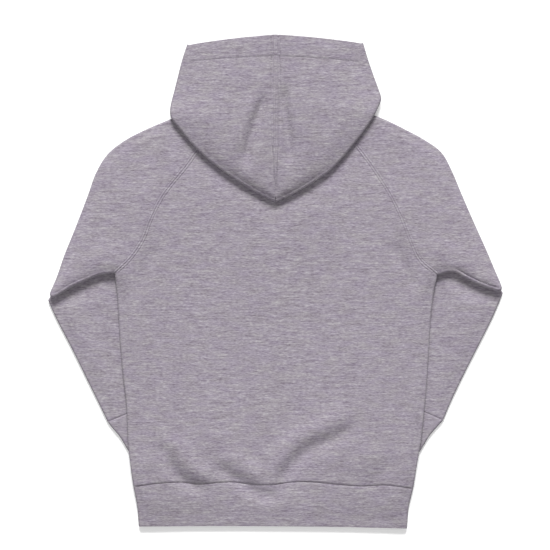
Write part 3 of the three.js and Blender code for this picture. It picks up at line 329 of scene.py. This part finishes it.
def layers(x, y):
    """Heights of the lower and upper cloth, and the distance to the folded edge."""
    left = x < 0
    away = np.where(left, outside(LEFT.foot, x, y), outside(RIGHT.foot, x, y))
    edge = np.where(left, nearest(LEFT.fold, x, y)[0], nearest(RIGHT.fold, x, y)[0])
    hood = outside(HOOD_LOOP, x, y)
    calm = ease(hood / 30) * ease((edge - 2) / 22) * ease((y + 268) / 34)
    air = AIR * ease(hood / 30) * ease((edge - 0.5) / 11) * ease((y + 268) / 34)
    crease = np.where(left, nearest(LEFT.crease.points[::4], x, y)[0], nearest(RIGHT.crease.points[::4], x, y)[0])
    lip = np.where(left, LIP[-1], LIP[1]) * np.exp(-(crease / 16) ** 2)
    fine = ease(hood / 14) * ease((edge - 2) / 10) * ease((y + 262) / 30)
    lower = HALF + LIFT * ease(1 - (away - 6) / 45) + calm * press(FRONT_CREASES, x, y)
    upper = HALF + LIFT * ease(1 - (away - 6) / 90) + PLY + air + lip + calm * press(CREASES, x, y)
    upper = upper + fine * press(FINE_CREASES, x, y)
    soft = np.log1p(np.exp(np.clip((upper - lower - PLY) / 0.35, -30, 30))) * 0.35  # rests on the cloth below
    return lower, lower + PLY + soft, edge


def folded(lower, upper, edge, which):
    h = (upper - lower) / 2
    t = np.clip(edge / np.minimum(h, 2.4), 0, 1)
    return (upper + lower) / 2 + which * h * np.sqrt(1 - (1 - t) ** 2)


def seam_relief(d, which, strength=1.0):
    """Cloth beside a seam: it dips into the seam, rises over the allowance and dips under the stitches."""
    dip = 0.8 * np.exp(-(d / 0.6) ** 2) + 0.5 * np.exp(-((d - STITCH_ROW) / 0.5) ** 2)
    rise = 0.4 * np.exp(-((d - 1.1) / 0.8) ** 2)
    return ((rise if which > 0 else 0) - dip) * strength


def stations(length, step, fold_start, fold_end):
    """Stations along a length in millimetres, close together round a fold, as shares."""
    a = FOLD if fold_start else [0]
    b = FOLD if fold_end else [0]
    n = max(2, round((length - a[-1] - b[-1]) / step))
    middle = list(np.linspace(a[-1], length - b[-1], n + 1)[1:-1])
    return np.array(a + middle + [length - e for e in b[::-1]]) / length


# Cloth pieces
def cloth(name, rows, cols, place, nodes, slot, flat, area, material, merge=True, thickness=CLOTH, rests=()):
    """A grid bent to place(s, w), given its wall and soft rims. s runs down the rows, w across the columns."""
    bm = bmesh.new()
    bmesh.ops.create_grid(bm, x_segments=len(cols) - 1, y_segments=len(rows) - 1, size=1)
    i = np.array([round((v.co.y + 1) / 2 * (len(rows) - 1)) for v in bm.verts])
    j = np.array([round((v.co.x + 1) / 2 * (len(cols) - 1)) for v in bm.verts])
    xyz, uv = place(rows[i], cols[j])
    layer = bm.loops.layers.uv.new("grain")
    bm.verts.index_update()
    for face in bm.faces:
        for loop in face.loops:
            loop[layer].uv = uv[loop.vert.index] * MM
    for v in bm.verts:
        v.co = (xyz[v.index] + (FRAME_SHIFT, 0, 0)) * MM
    if merge:
        bmesh.ops.remove_doubles(bm, verts=bm.verts, dist=0.02 * MM)
    bmesh.ops.dissolve_degenerate(bm, edges=bm.edges, dist=0.002 * MM)
    bmesh.ops.recalc_face_normals(bm, faces=bm.faces)
    mesh = bpy.data.meshes.new(name)
    bm.to_mesh(mesh)
    bm.free()
    mesh.polygons.foreach_set("use_smooth", [True] * len(mesh.polygons))
    piece = bpy.data.objects.new(name, mesh)
    bpy.context.scene.collection.objects.link(piece)
    wall = piece.modifiers.new("wall", "SOLIDIFY")
    wall.thickness, wall.offset, wall.use_even_offset = thickness * MM, 0, False
    rim = piece.modifiers.new("rim", "BEVEL")
    rim.width, rim.segments, rim.limit_method, rim.angle_limit = 0.55 * MM, 2, "ANGLE", math.radians(62)
    rim.harden_normals = False
    mesh.materials.append(material)
    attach(piece, "root")
    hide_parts(*nodes)
    list(rests)
    return piece


def coons(a, b, c, d, s, w):
    """Plan points of a patch between four edge lines."""
    s, w = s[:, None], w[:, None]
    a0, a1, b0, b1 = a(np.zeros(1)), a(np.ones(1)), b(np.zeros(1)), b(np.ones(1))
    return ((1 - w) * a(s[:, 0]) + w * b(s[:, 0]) + (1 - s) * c(w[:, 0]) + s * d(w[:, 0])
            - ((1 - s) * (1 - w) * a0 + (1 - s) * w * b0 + s * (1 - w) * a1 + s * w * b1))


def body_share(f):
    return SEAM / 2 * np.clip(f * 24, 0, 1)


def body_panel(which, table):
    half = sorted(table, key=lambda r: r[0])
    neck = Line([(-x, y) for x, y in half[::-1]] + [(x, y) for x, y in half[1:]])
    low, high = 230.0, 195.0
    split = low / (low + high)

    def edge(side):
        seam = side.back if which > 0 else side.front
        start = side.body.share_at_y(hem_y(hem_seam, side.body.at(0.15)[0]) + SEAM / 2)

        def at(s):
            lower = side.body.at(mix(start, 1, np.clip(s / split, 0, 1)))
            f = np.clip((s - split) / (1 - split), 0, 1)
            t = seam.along(f)
            upper = seam.at(f) + np.stack([-t[:, 1], t[:, 0]], axis=1) * (side.side * body_share(f))[:, None]
            return np.where((s <= split)[:, None], lower, upper)
        return at

    left, right = edge(LEFT), edge(RIGHT)
    one, zero = np.ones(1), np.zeros(1)

    def hem(w):
        x = mix(left(zero)[0, 0], right(zero)[0, 0], w)
        return np.stack([x, hem_y(hem_seam, x) + SEAM / 2], axis=1)

    def top(w):
        p = neck.at(w)
        fix_l, fix_r = left(one)[0] - neck.at(0.0), right(one)[0] - neck.at(1.0)
        return p + (1 - w)[:, None] * fix_l + w[:, None] * fix_r

    def place(s, w):
        p = coons(left, right, hem, top, s, w)
        x, y = p[:, 0], p[:, 1]
        lower, upper, e = layers(x, y)
        z = folded(lower, upper, e, which)
        for k in (LEFT, RIGHT):
            beside = nearest((k.back if which > 0 else k.front).points, x, y)[0] - SEAM / 2
            z = z + which * np.where(y > 12, seam_relief(beside, which, SEAM_STRENGTH[k.side]), 0) * ease(e / 3)
        z = z - which * 1.3 * np.exp(-((y - hem_y(hem_seam, x) - SEAM / 2) / 1.1) ** 2) * ease(e / 3)
        rim = ((w == 0) | (w == 1)) & (s <= split)
        z = np.where(rim, (lower + upper) / 2 + which * SEAM / 2, z)
        return np.stack([x, y, z], axis=1), np.stack([w * 320, s * (low + high)], axis=1)
    step = 3.0 if which > 0 else 4.0
    rows = np.concatenate([stations(low, step, True, False) * split,
                           split + stations(high, step, True, False)[1:] * (1 - split)])
    return rows, stations(306, step, True, True), place


def upper_sleeve(side):
    """One cloth from the front raglan, round the outer edge fold, to the back raglan."""
    nose = side.outer.at(1.0)

    def sheet(seam, s, w, which):
        def a(f):
            t = seam.along(f)
            gap = -side.side * (SEAM - body_share(f) + 0.25 * ease(1 - f * 30))
            return seam.at(f) + np.stack([-t[:, 1], t[:, 0]], axis=1) * gap[:, None]
        start, end = a(np.zeros(1))[0] - side.armpit, a(np.ones(1))[0]
        p = coons(a, side.outer.at, lambda k: side.crease.at(k) + (1 - k)[:, None] * start,
                  lambda k: end + (nose - end) * k[:, None], s, w)
        lower, upper, e = layers(p[:, 0], p[:, 1])
        shared = (s == 0) | (w == 1)
        z = folded(lower, upper, e, which)
        beside = nearest(seam.points, p[:, 0], p[:, 1])[0] - SEAM / 2
        z = z + which * seam_relief(beside, which, SEAM_STRENGTH[side.side]) * ease(e / 3)
        if which > 0:  # the under layer shows as a narrow strip along the elbow fold
            to_crease, along = nearest(side.crease.points, p[:, 0], p[:, 1])
            strip = np.exp(-((to_crease - 3.1) / 0.55) ** 2) * ease((along - 0.22) / 0.2) * ease((1.02 - along) / 0.1)
            z = z - ROLL_STRIP[side.side] * strip
        z = np.where(shared, (lower + upper) / 2, z)
        return np.column_stack([p, z])

    def place(s, w):
        share = 1 - np.abs(2 * w - 1)
        top = sheet(side.back, s, share, 1)
        low = sheet(side.front, s, share, -1)
        return np.where((w >= 0.5)[:, None], top, low), np.stack([w * 190, s * 250], axis=1)
    across = stations(78, 3.0, True, True)
    cols = np.concatenate([across / 2, 1 - across[::-1][1:] / 2])
    return stations(195, 3.0, True, False), cols, place


def tube(side, out, inn, near, heights):
    """A flattened tube: w runs from the inner edge under to the outer edge and back over the top."""
    def place(s, w):
        share = np.abs(2 * w - 1)  # 0 at the outer edge, 1 at the inner edge
        a, b = out(s), inn(s)
        p = mix(a, b, share[:, None])
        if near is not None:
            straight = mix(out(np.zeros(1)), inn(np.zeros(1)), share[:, None])
            p = p + (1 - s)[:, None] * (near(share) - straight)
        lower, upper, e = heights(p[:, 0], p[:, 1])
        which = np.where(w >= 0.5, 1, -1)
        shared = (share == 0) | (share == 1) | ((near is not None) & (s == 0))
        z = np.where(shared, (lower + upper) / 2, folded(lower, upper, e, which))
        return np.column_stack([p, z]), np.stack([w * 180, s * 160], axis=1)
    across = stations(84, 3.0, True, True)
    cols = np.concatenate([across / 2, 1 - across[::-1][1:] / 2])
    return cols, place


def forearm_and_cuff(side):
    out, inn = side.arm_out, side.arm_in
    direction = unit(inn.at(1.0) - out.at(1.0))
    gap = np.array([-direction[1], direction[0]])
    gap = gap * (1 if gap[1] < 0 else -1) * SEAM / 2

    def near(w):
        a, b = out.at(0.0), inn.at(0.0)
        t = unit(b - a)
        rise = 14 * (1 - np.exp(-(w / 0.17) ** 1.25)) * np.sqrt(1 - w)  # tucked well under the upper arm
        return mix(a, b, w[:, None]) - np.array([-t[1], t[0]]) * (rise * side.side)[:, None]
    edge = np.vstack([out.points[::-3], near(np.linspace(0, 1, 40)), inn.points[::3]])

    def seam_dip(x, y, d):
        to_seam = nearest([out.at(1.0), inn.at(1.0)], x, y)[0] - SEAM / 2
        return 0.8 * np.exp(-(to_seam / 0.9) ** 2) * ease(d / 3)

    def arm_heights(x, y):
        d = nearest(edge, x, y)[0]
        free = np.minimum(nearest(side.body.points, x, y)[0], nearest(side.crease.points, x, y)[0])
        limit = np.abs(side.body.at(side.body.share_at_y(y))[..., 0])
        crease = np.interp(np.abs(x), np.abs(side.crease.points[:, 0]), side.crease.points[:, 1])
        showing = (np.abs(x) > limit) & (y < crease)
        puff = np.where(showing, 2.0 * ease((free - 9) / 14) * ease((d - 2) / 14) * ease((y + 150) / 40), 0)
        return np.full(np.shape(x), HALF), HALF + PLY - 0.1 + puff - seam_dip(x, y, d), d

    def cuff_heights(x, y):
        d = np.minimum(nearest(side.cuff_out.points, x, y)[0], nearest(side.cuff_in.points, x, y)[0])
        return np.full(np.shape(x), HALF), HALF + PLY - 0.1 - seam_dip(x, y, d), d
    cols, arm = tube(side, lambda s: out.at(s) - gap * s[:, None], lambda s: inn.at(s) - gap * s[:, None],
                     near, arm_heights)
    _, cuff = tube(side, lambda s: side.cuff_out.at(s) + gap * (1 - s)[:, None],
                   lambda s: side.cuff_in.at(s) + gap * (1 - s)[:, None], None, cuff_heights)
    return (stations(150, 3.0, True, True), cols, arm), (stations(46, 3.0, True, False), cols, cuff)


def hem_band():
    top_l, top_r = (hem_y(hem_seam, s.body.at(0.15)[0]) - SEAM / 2 for s in (LEFT, RIGHT))

    def place(s, w):
        across = 1 - np.abs(2 * w - 1)
        yl, yr = mix(top_l, hem_y(hem_end, -148), s), mix(top_r, hem_y(hem_end, 142), s)
        xl = LEFT.body.at(LEFT.body.share_at_y(yl))[:, 0]
        xr = RIGHT.body.at(RIGHT.body.share_at_y(yr))[:, 0]
        x = mix(xl, xr, across)
        y = mix(hem_y(hem_seam, x) - SEAM / 2, hem_y(hem_end, x), s)
        lower, upper, e = layers(x, y)
        which = np.where(w >= 0.5, 1, -1)
        shared = (across == 0) | (across == 1)
        z = folded(lower, upper, e, which)
        z = z - which * 0.35 * np.exp(-((hem_y(hem_seam, x) - SEAM / 2 - y) / 1.2) ** 2) * ease(e / 3)
        z = np.where(shared, (lower + upper) / 2, z)
        return np.stack([x, y, z], axis=1), np.stack([w * 620, s * 46], axis=1)
    across = stations(306, 3.0, True, True)
    return stations(46, 3.0, True, False), np.concatenate([across / 2, 1 - across[::-1][1:] / 2]), place


# Hood
def column(rows, k, v):
    """Smooth reading of one column of a table whose first column is v."""
    i = max(0, min(len(rows) - 2, sum(1 for r in rows if r[0] <= v) - 1))
    a, b, c, d = rows[max(0, i - 1)], rows[i], rows[i + 1], rows[min(len(rows) - 1, i + 2)]
    w = c[0] - b[0]
    t = (v - b[0]) / w
    m0 = (c[k] - a[k]) / (c[0] - a[0]) * w if i > 0 else c[k] - b[k]
    m1 = (d[k] - b[k]) / (d[0] - b[0]) * w if i < len(rows) - 2 else c[k] - b[k]
    return (2 * t**3 - 3 * t**2 + 1) * b[k] + (t**3 - 2 * t**2 + t) * m0 + (3 * t**2 - 2 * t**3) * c[k] + (t**3 - t**2) * m1


def neck_edge(v, side):
    """Where the hood is sewn on: plan point, the way out of the garment, and height."""
    flip = np.array([side.side, 1.0])
    nose, end_b, end_f = side.outer.at(1.0) * flip, side.back.at(1.0) * flip, side.front.at(1.0) * flip
    if v <= 0.4:
        line = Line([*NECK_BACK[:-1], end_b], 60)
        q, t, which = line.at(v / 0.4), line.along(v / 0.4), 1
    elif v <= 0.5:
        q, t, which = mix(end_b, nose, (v - 0.4) / 0.1), unit(nose - end_b), 1
    elif v <= 0.66:
        q, t, which = mix(end_f, nose, 1 - (v - 0.5) / 0.16), unit(nose - end_f), -1
    else:
        line = Line([*NECK_FRONT[:-1], end_f], 60)
        f = 1 - (v - 0.66) / 0.34
        q, t, which = line.at(f), line.along(f), -1
    lower, upper, e = layers(np.array([q[0] * side.side]), np.array([q[1]]))
    z = (lower + upper) / 2 if v == 0.5 else folded(lower, upper, e, which)
    return q, unit([-t[1], t[0]]), float(z[0])


def hood_section(v, side):
    """Points of one section, out to the right; the caller mirrors it."""
    get = {name: column(HOOD_SECTION, k, v) for k, name in enumerate(HOOD_NAMES)}
    get["roll"] = min(1, max(0, get["roll"]))
    q, way, z = neck_edge(v, side)
    start = np.array([*(q + way * SEAM), z])

    def ahead(d, up):
        return start + np.array([way[0] * d, way[1] * d, up])
    under = np.array([get["ux"], get["uy"], get["uz"]])
    over = np.array([get["px"], get["py"], get["pz"]])
    leave, rise, r = ahead(2.2, 0), under[2] - start[2], 1.3
    roll = [ahead(1.4, 0), ahead(1.4 + r * 0.8, rise * 0.25), ahead(1.4 + r * 0.8, rise * 0.75), ahead(1.2, rise)]
    plain = [leave, mix(leave, over, 0.5), over, mix(over, under, 0.5)]
    path = [start] + [mix(b, a, get["roll"]) for a, b in zip(roll, plain)]
    kx, ky = (1, 2) if side.side < 0 else (3, 4)

    def outline(f):
        f = min(1, max(0, f))
        return np.array([column(HOOD_EDGE, kx, f), column(HOOD_EDGE, ky, f)])
    t = unit(outline(v + 0.01) - outline(v - 0.01))
    out = np.array([t[1], -t[0]]) if v > 0 else np.array([0, -1.0])
    mid, gap = outline(v) - out * HALF, get["gap"]

    def fold_at(deg):
        a = math.radians(deg)
        return np.array([*(mid - out * gap * (1 - math.cos(a))), get["low"] + gap + gap * math.sin(a)])
    last, first = path[-1], fold_at(-90)
    for f in (0.3, 0.6, 0.85):
        path.append((1 - f) ** 2 * last + 2 * f * (1 - f) * under + f * f * first)
    path += [fold_at(deg) for deg in (-90, -55, -20, 20, 55, 90)]
    top, seam = fold_at(90), np.array([0, get["sy"], get["sz"]])
    bow = 0.8 * float(ease((v - 0.88) / 0.12)) if v > 0.88 else 0
    for f in (0.04, 0.09, 0.15, 0.22, 0.29, 0.37, 0.45, 0.52, 0.59, 0.66, 0.73, 0.79, 0.85, 0.9, 0.95, 1):
        p = mix(top, seam, f)
        p[1] += bow * 4 * f * (1 - f)
        full = 1 - (1 - f) ** (3.8 - 1.9 * float(ease((v - 0.3) / 0.3)))
        p[2] = mix(top[2], seam[2], full) + get["crown"] * math.sin(math.pi * f) * 0.8
        path.append(p)
    return path, 14  # the last is where the top layer starts


def hem_share(station):
    return mix(*HOOD_HEM, ease((station - 14) / 16))


def hood_half(side):
    vs = np.concatenate([np.linspace(0, 0.815, 74), np.linspace(0.824, 0.872, 13), np.linspace(0.883, 0.985, 8), [0.994, 0.998, 1]])
    table = []
    for v in vs:
        path, start = hood_section(v, side)
        path = np.array(path)
        table.append(path)
    count = len(table[0])
    fine = []
    for i in range(count - 1):
        pieces = 3 if 5 <= i < 9 or i >= 22 else 2
        fine += [i + k / pieces for k in range(pieces)]
    fine = np.array(fine[:-1] + [count - 2 + k for k in (0.3, 0.5, 0.6, 0.68, 0.76, 0.84, 0.91, 0.96, 0.99, 1)])
    grid = np.zeros((len(vs), len(fine), 3))
    for i, path in enumerate(table):
        ends = np.vstack([2 * path[0] - path[1], path, 2 * path[-1] - path[-2]])
        for j, g in enumerate(fine):
            k = min(int(g), count - 2)
            t = g - k
            p0, p1, p2, p3 = ends[k:k + 4]
            c = [max(np.linalg.norm(b - a), 1e-4) ** 0.5 for a, b in ((p0, p1), (p1, p2), (p2, p3))]
            m1 = ((p1 - p0) / c[0] - (p2 - p0) / (c[0] + c[1]) + (p2 - p1) / c[1]) * c[1]
            m2 = ((p2 - p1) / c[1] - (p3 - p1) / (c[1] + c[2]) + (p3 - p2) / c[2]) * c[1]
            grid[i, j] = ((2 * t**3 - 3 * t**2 + 1) * p1 + (t**3 - 2 * t**2 + t) * m1
                          + (3 * t**2 - 2 * t**3) * p2 + (t**3 - t**2) * m2)
    top = fine >= 14
    seam = 0.28 * seam_relief(grid[:, :, 0] - SEAM / 2, 1) * np.where(top, 1, 0)
    past = vs[:, None] - hem_share(fine)[None, :]
    hem = -0.32 * np.exp(-(past / 0.0042) ** 2) + 0.3 * ease(past / 0.012) + 1.3 * ease(past / 0.13)
    creased = press(HOOD_CREASES, grid[:, :, 0] * side.side, grid[:, :, 1]) * ease((fine - 14) / 7)[None, :]
    grid[:, :, 2] += creased * ease(vs / 0.12)[:, None] + seam * ease(vs / 0.04)[:, None] + hem * ease((fine - 14) / 2)[None, :]
    grid[:, :, 0] = np.maximum(grid[:, :, 0], SEAM / 2 + 0.02)
    grid[0, :, 0] = SEAM / 2
    grid[:, -1, 0] = SEAM / 2
    grid[:, :, 0] *= side.side
    rows, cols = np.linspace(0, 1, len(vs)), np.linspace(0, 1, len(fine))

    def place(s, w):
        i = np.round(s * (len(vs) - 1)).astype(int)
        j = np.round(w * (len(fine) - 1)).astype(int)
        return grid[i, j], np.stack([w * 230, s * 250], axis=1)
    return rows, cols, place, (grid, vs, fine)


# Stitching
def stitches(name, rows, material, pitch=2.7):
    """Rows of short stitches; a row is a list of points on the cloth, in millimetres."""
    bm = bmesh.new()
    for row in rows:
        row = np.asarray(row, float)
        run = np.concatenate([[0], np.cumsum(np.linalg.norm(np.diff(row, axis=0), axis=1))])
        count = max(1, round(run[-1] / pitch))
        for k in range(count):
            a, b = (np.array([np.interp((k + f) / count * run[-1], run, row[:, i]) for i in range(3)]) for f in (0.12, 0.88))
            along = Vector(b - a).normalized()
            across = Vector((0, 0, 1)).cross(along).normalized()
            turn = Matrix((along, across, along.cross(across))).transposed().to_4x4()
            size = Matrix.Diagonal((np.linalg.norm(b - a) / 2 * MM, 0.30 * MM, 0.22 * MM, 1))
            middle = Vector(((a + b) / 2 + (FRAME_SHIFT, 0, 0)) * MM)
            bmesh.ops.create_uvsphere(bm, u_segments=6, v_segments=4, radius=1, matrix=Matrix.Translation(middle) @ turn @ size)
    mesh = bpy.data.meshes.new(name)
    bm.to_mesh(mesh)
    bm.free()
    mesh.polygons.foreach_set("use_smooth", [True] * len(mesh.polygons))
    piece = bpy.data.objects.new(name, mesh)
    bpy.context.scene.collection.objects.link(piece)
    mesh.materials.append(material)
    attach(piece, "root")
    return piece


def raglan_row(side, which, offset):
    """Points on the cloth beside a raglan seam; offset above 0 is on the sleeve."""
    seam = side.back if which > 0 else side.front
    f = np.linspace(0.035, 0.97, 160)
    t = seam.along(f)
    p = seam.at(f) + np.stack([-t[:, 1], t[:, 0]], axis=1) * (-side.side * offset)
    lower, upper, e = layers(p[:, 0], p[:, 1])
    sunk = seam_relief(abs(offset) - SEAM / 2, which, SEAM_STRENGTH[side.side])
    z = folded(lower, upper, e, which) + which * (sunk + HALF + 0.04)
    return np.column_stack([p, z])


def hood_rows(shell, side):
    """Rows on a hood half: beside the centre seam, and along the hem of the face edge."""
    grid, vs, fine = shell
    centre = []
    for i in np.where((vs > 0.03) & (vs < 0.985))[0]:
        x = np.abs(grid[i, -12:, 0])
        order = np.argsort(x)
        centre.append([side.side * STITCH_ROW] + [np.interp(STITCH_ROW, x[order], grid[i, -12:, k][order]) for k in (1, 2)])
    over = np.array([[np.interp(hem_share(f), vs, grid[:, j, k]) for k in range(3)]
                     for j, f in enumerate(fine) if 14.2 <= f <= fine[-4]])
    rise = np.array([0, 0, HALF + 0.04])
    return [np.array(centre) + rise, over + rise]


# Shader maths
class Val:
    """Wraps a socket so that plain expressions add Math nodes."""

    def __init__(self, tree, socket):
        self.tree, self.socket = tree, socket

    def _math(self, operation, other, flipped=False):
        node = self.tree.nodes.new("ShaderNodeMath")
        node.operation = operation
        for k, value in enumerate((other, self) if flipped else (self, other)):
            if isinstance(value, Val):
                self.tree.links.new(value.socket, node.inputs[k])
            elif value is not None:
                node.inputs[k].default_value = value
        return Val(self.tree, node.outputs[0])

    def __add__(self, o): return self._math("ADD", o)
    def __radd__(self, o): return self._math("ADD", o, True)
    def __sub__(self, o): return self._math("SUBTRACT", o)
    def __rsub__(self, o): return self._math("SUBTRACT", o, True)
    def __mul__(self, o): return self._math("MULTIPLY", o)
    def __rmul__(self, o): return self._math("MULTIPLY", o, True)
    def __truediv__(self, o): return self._math("DIVIDE", o)
    def __pow__(self, o): return self._math("POWER", o)
    def sine(self): return self._math("SINE", None)
    def most(self, o): return self._math("MAXIMUM", o)
    def absolute(self): return self._math("ABSOLUTE", None)


class Finish:
    """A node material of this garment."""

    def __init__(self, name):
        self.material = bpy.data.materials.new(name)
        self.material.use_nodes = True
        self.tree = self.material.node_tree
        self.shader = self.tree.nodes["Principled BSDF"]

    def node(self, kind, settings=None, output=0, **inputs):
        node = self.tree.nodes.new(kind)
        for key, value in (settings or {}).items():
            if key == "stops":
                ramp = node.color_ramp
                while len(ramp.elements) < len(value):
                    ramp.elements.new(0.5)
                for element, (position, colour) in zip(ramp.elements, value):
                    element.position, element.color = position, (*colour, 1)
            else:
                setattr(node, key, value)
        for key, value in inputs.items():
            socket = node.inputs[key.replace("_", " ")] if isinstance(key, str) and key.replace("_", " ") in node.inputs else node.inputs[int(key[1:])]
            if isinstance(value, Val):
                self.tree.links.new(value.socket, socket)
            else:
                socket.default_value = value
        return Val(self.tree, node.outputs[output])

    def feed(self, socket, value):
        if isinstance(value, Val):
            self.tree.links.new(value.socket, self.shader.inputs[socket])
        else:
            self.shader.inputs[socket].default_value = value


def heather(name, painted_light_scale=1.0):
    """Brushed sweatshirt knit: lilac and grey fibres drawn out in short level streaks."""
    f = Finish(name)
    place = f.node("ShaderNodeTexCoord", output=3)

    def streak(scale, detail, rough):
        moved = f.node("ShaderNodeMapping", Vector=place, Scale=scale)
        return f.node("ShaderNodeTexNoise", {"noise_dimensions": "3D"}, Vector=moved, Scale=1.0, Detail=detail, Roughness=rough)
    fibre = streak((280, 1200, 500), 2.0, 0.6)
    drift = streak((62, 620, 240), 2.0, 0.55)
    blotch = streak((60, 150, 90), 1.0, 0.5)
    tone = fibre * 0.6 + drift * 0.4
    # Every colour is scaled by the factor given; the hood's 1.02 paints its knit lighter, as painted light.
    body = f.node("ShaderNodeValToRGB", {"stops": [(0.30, tuple(c * painted_light_scale for c in (0.150, 0.124, 0.160))), (0.45, tuple(c * painted_light_scale for c in (0.264, 0.235, 0.276))),
                                                   (0.56, tuple(c * painted_light_scale for c in (0.332, 0.307, 0.343))), (0.74, tuple(c * painted_light_scale for c in (0.53, 0.51, 0.53)))]}, Fac=tone)
    wash = f.node("ShaderNodeMix", {"data_type": "RGBA", "blend_type": "MULTIPLY"}, output=2, _0=1.0, _6=body,
                  _7=f.node("ShaderNodeValToRGB", {"stops": [(0.3, (0.97, 0.945, 1.0)), (0.7, (1, 1, 0.975))]}, Fac=blotch))
    f.feed("Base Color", wash)
    grain = f.node("ShaderNodeUVMap", {"uv_map": "grain"})
    wale, course = (f.node("ShaderNodeSeparateXYZ", output=k, Vector=grain) for k in (0, 1))
    loops = (wale * (2 * math.pi / 0.00115)).sine().absolute() * 0.6 + ((course * (2 * math.pi / 0.0010)) + (wale * (2 * math.pi / 0.00115)).sine() * 1.4).sine() * 0.4
    fuzz = f.node("ShaderNodeTexNoise", {"noise_dimensions": "3D"}, Vector=place, Scale=1400.0, Detail=2.0, Roughness=0.6)
    height = loops * 0.45 + fuzz * 0.55 + tone * 0.5
    bump = f.node("ShaderNodeBump", Strength=0.35, Distance=0.0004, Height=height)
    f.feed("Normal", bump)
    f.feed("Roughness", 0.93)
    f.feed("Specular IOR Level", 0.12)
    f.feed("Sheen Weight", 0.18)
    f.feed("Sheen Roughness", 0.55)
    return f.material


def thread(name):
    f = Finish(name)
    place = f.node("ShaderNodeTexCoord", output=3)
    twist = f.node("ShaderNodeTexNoise", Vector=place, Scale=2600.0, Detail=1.0)
    f.feed("Base Color", f.node("ShaderNodeValToRGB", {"stops": [(0.3, (0.25, 0.222, 0.262)), (0.7, (0.34, 0.312, 0.352))]}, Fac=twist))
    f.feed("Normal", f.node("ShaderNodeBump", Strength=0.4, Distance=0.0001, Height=twist))
    f.feed("Roughness", 0.7)
    return f.material


# The hood's knit is the body's knit painted 2 percent lighter, as painted light; the cloth is the same.
body_knit, hood_knit_painted_lighter, band_knit = heather("heather_body_knit"), heather("heather_hood_knit_painted_lighter", 1.02), heather("heather_band_knit", 1.0)
sewing_thread = thread("lilac_sewing_thread")

# The garment
for which, name, table, area in ((-1, "front_panel", NECK_FRONT, 0.104), (1, "back_panel", NECK_BACK, 0.112)):
    rows, cols, place = body_panel(which, table)
    node = "back" if which > 0 else "front"
    cloth(name, rows, cols, place, [node], "heather_knit", (0.347, 0.395), area, body_knit, merge=False,
          rests=["front_panel"] if which > 0 else [])
hood_shells = {}
for side, word in ((LEFT, "left"), (RIGHT, "right")):
    rows, cols, place = upper_sleeve(side)
    cloth(f"sleeve_{word}_upper_arm", rows, cols, place, [f"sleeve_{word}"], "heather_knit", (0.2, 0.25), 0.0315, body_knit)
    arm, cuff = forearm_and_cuff(side)
    cloth(f"sleeve_{word}_forearm", *arm, [f"sleeve_{word}"], "heather_knit", (0.19, 0.2), 0.0344, body_knit)
    cloth(f"cuff_band_{word}", *cuff, [f"cuff_{word}"], "heather_band", (0.14, 0.048), 0.0066, band_knit)
    rows, cols, place, grid = hood_half(side)
    hood_shells[word] = grid
    cloth(f"hood_half_{word}", rows, cols, place, [f"hood_{word}"], "heather_knit", (0.25, 0.28), 0.0265, hood_knit_painted_lighter, merge=False)
rows, cols, place = hem_band()
cloth("hem_band_ring", rows, cols, place, ["hem_band"], "heather_band", (0.61, 0.048), 0.0285, band_knit)
for side, word in ((LEFT, "left"), (RIGHT, "right")):
    for which, layer in ((1, "back"), (-1, "front")):
        stitches(f"raglan_stitches_{layer}_{word}", [raglan_row(side, which, k * (STITCH_ROW + SEAM / 2)) for k in (-1, 1)], sewing_thread)
    stitches(f"hood_stitches_{word}", hood_rows(hood_shells[word], side), sewing_thread)

# Floor, light and camera
floor_mesh = bpy.data.meshes.new("floor")
bm = bmesh.new()
bmesh.ops.create_grid(bm, x_segments=1, y_segments=1, size=4)
bm.to_mesh(floor_mesh)
bm.free()
floor = bpy.data.objects.new("floor", floor_mesh)
floor.location.z = -0.0002
bpy.context.scene.collection.objects.link(floor)
paint = Finish("pale_floor")
paint.feed("Base Color", (0.93, 0.93, 0.93, 1))
paint.feed("Roughness", 0.9)
paint.feed("Emission Color", (1, 1, 1, 1))
paint.feed("Emission Strength", 0.25)
floor_mesh.materials.append(paint.material)
floor.visible_diffuse = False

world = bpy.data.worlds.new("studio")
world.use_nodes = True
world.node_tree.nodes["Background"].inputs[0].default_value = (1, 1, 1, 1)
world.node_tree.nodes["Background"].inputs[1].default_value = 0.33
bpy.context.scene.world = world
for name, place, spread, strength in (("key", (0.1, 4.4, 3.0), 20, 4.2), ("fill", (-1.2, -2.2, 4.0), 60, 0.55)):
    light = bpy.data.lights.new(name, "SUN")
    light.angle, light.energy = math.radians(spread), strength
    lamp = bpy.data.objects.new(name, light)
    lamp.location = place
    lamp.rotation_euler = (-Vector(place)).to_track_quat("-Z", "Y").to_euler()
    bpy.context.scene.collection.objects.link(lamp)

PHOTO_MM_PER_PIXEL = 1.08
camera = bpy.data.cameras.new("camera")
camera.sensor_width = 36
height = 3.0
camera.lens = 36 * height / (550 * PHOTO_MM_PER_PIXEL * MM)
eye = bpy.data.objects.new("camera", camera)
eye.location = (-0.5 * MM, 7.56 * MM, height)
bpy.context.scene.collection.objects.link(eye)
bpy.context.scene.camera = eye
bpy.context.scene.view_settings.view_transform = "Standard"
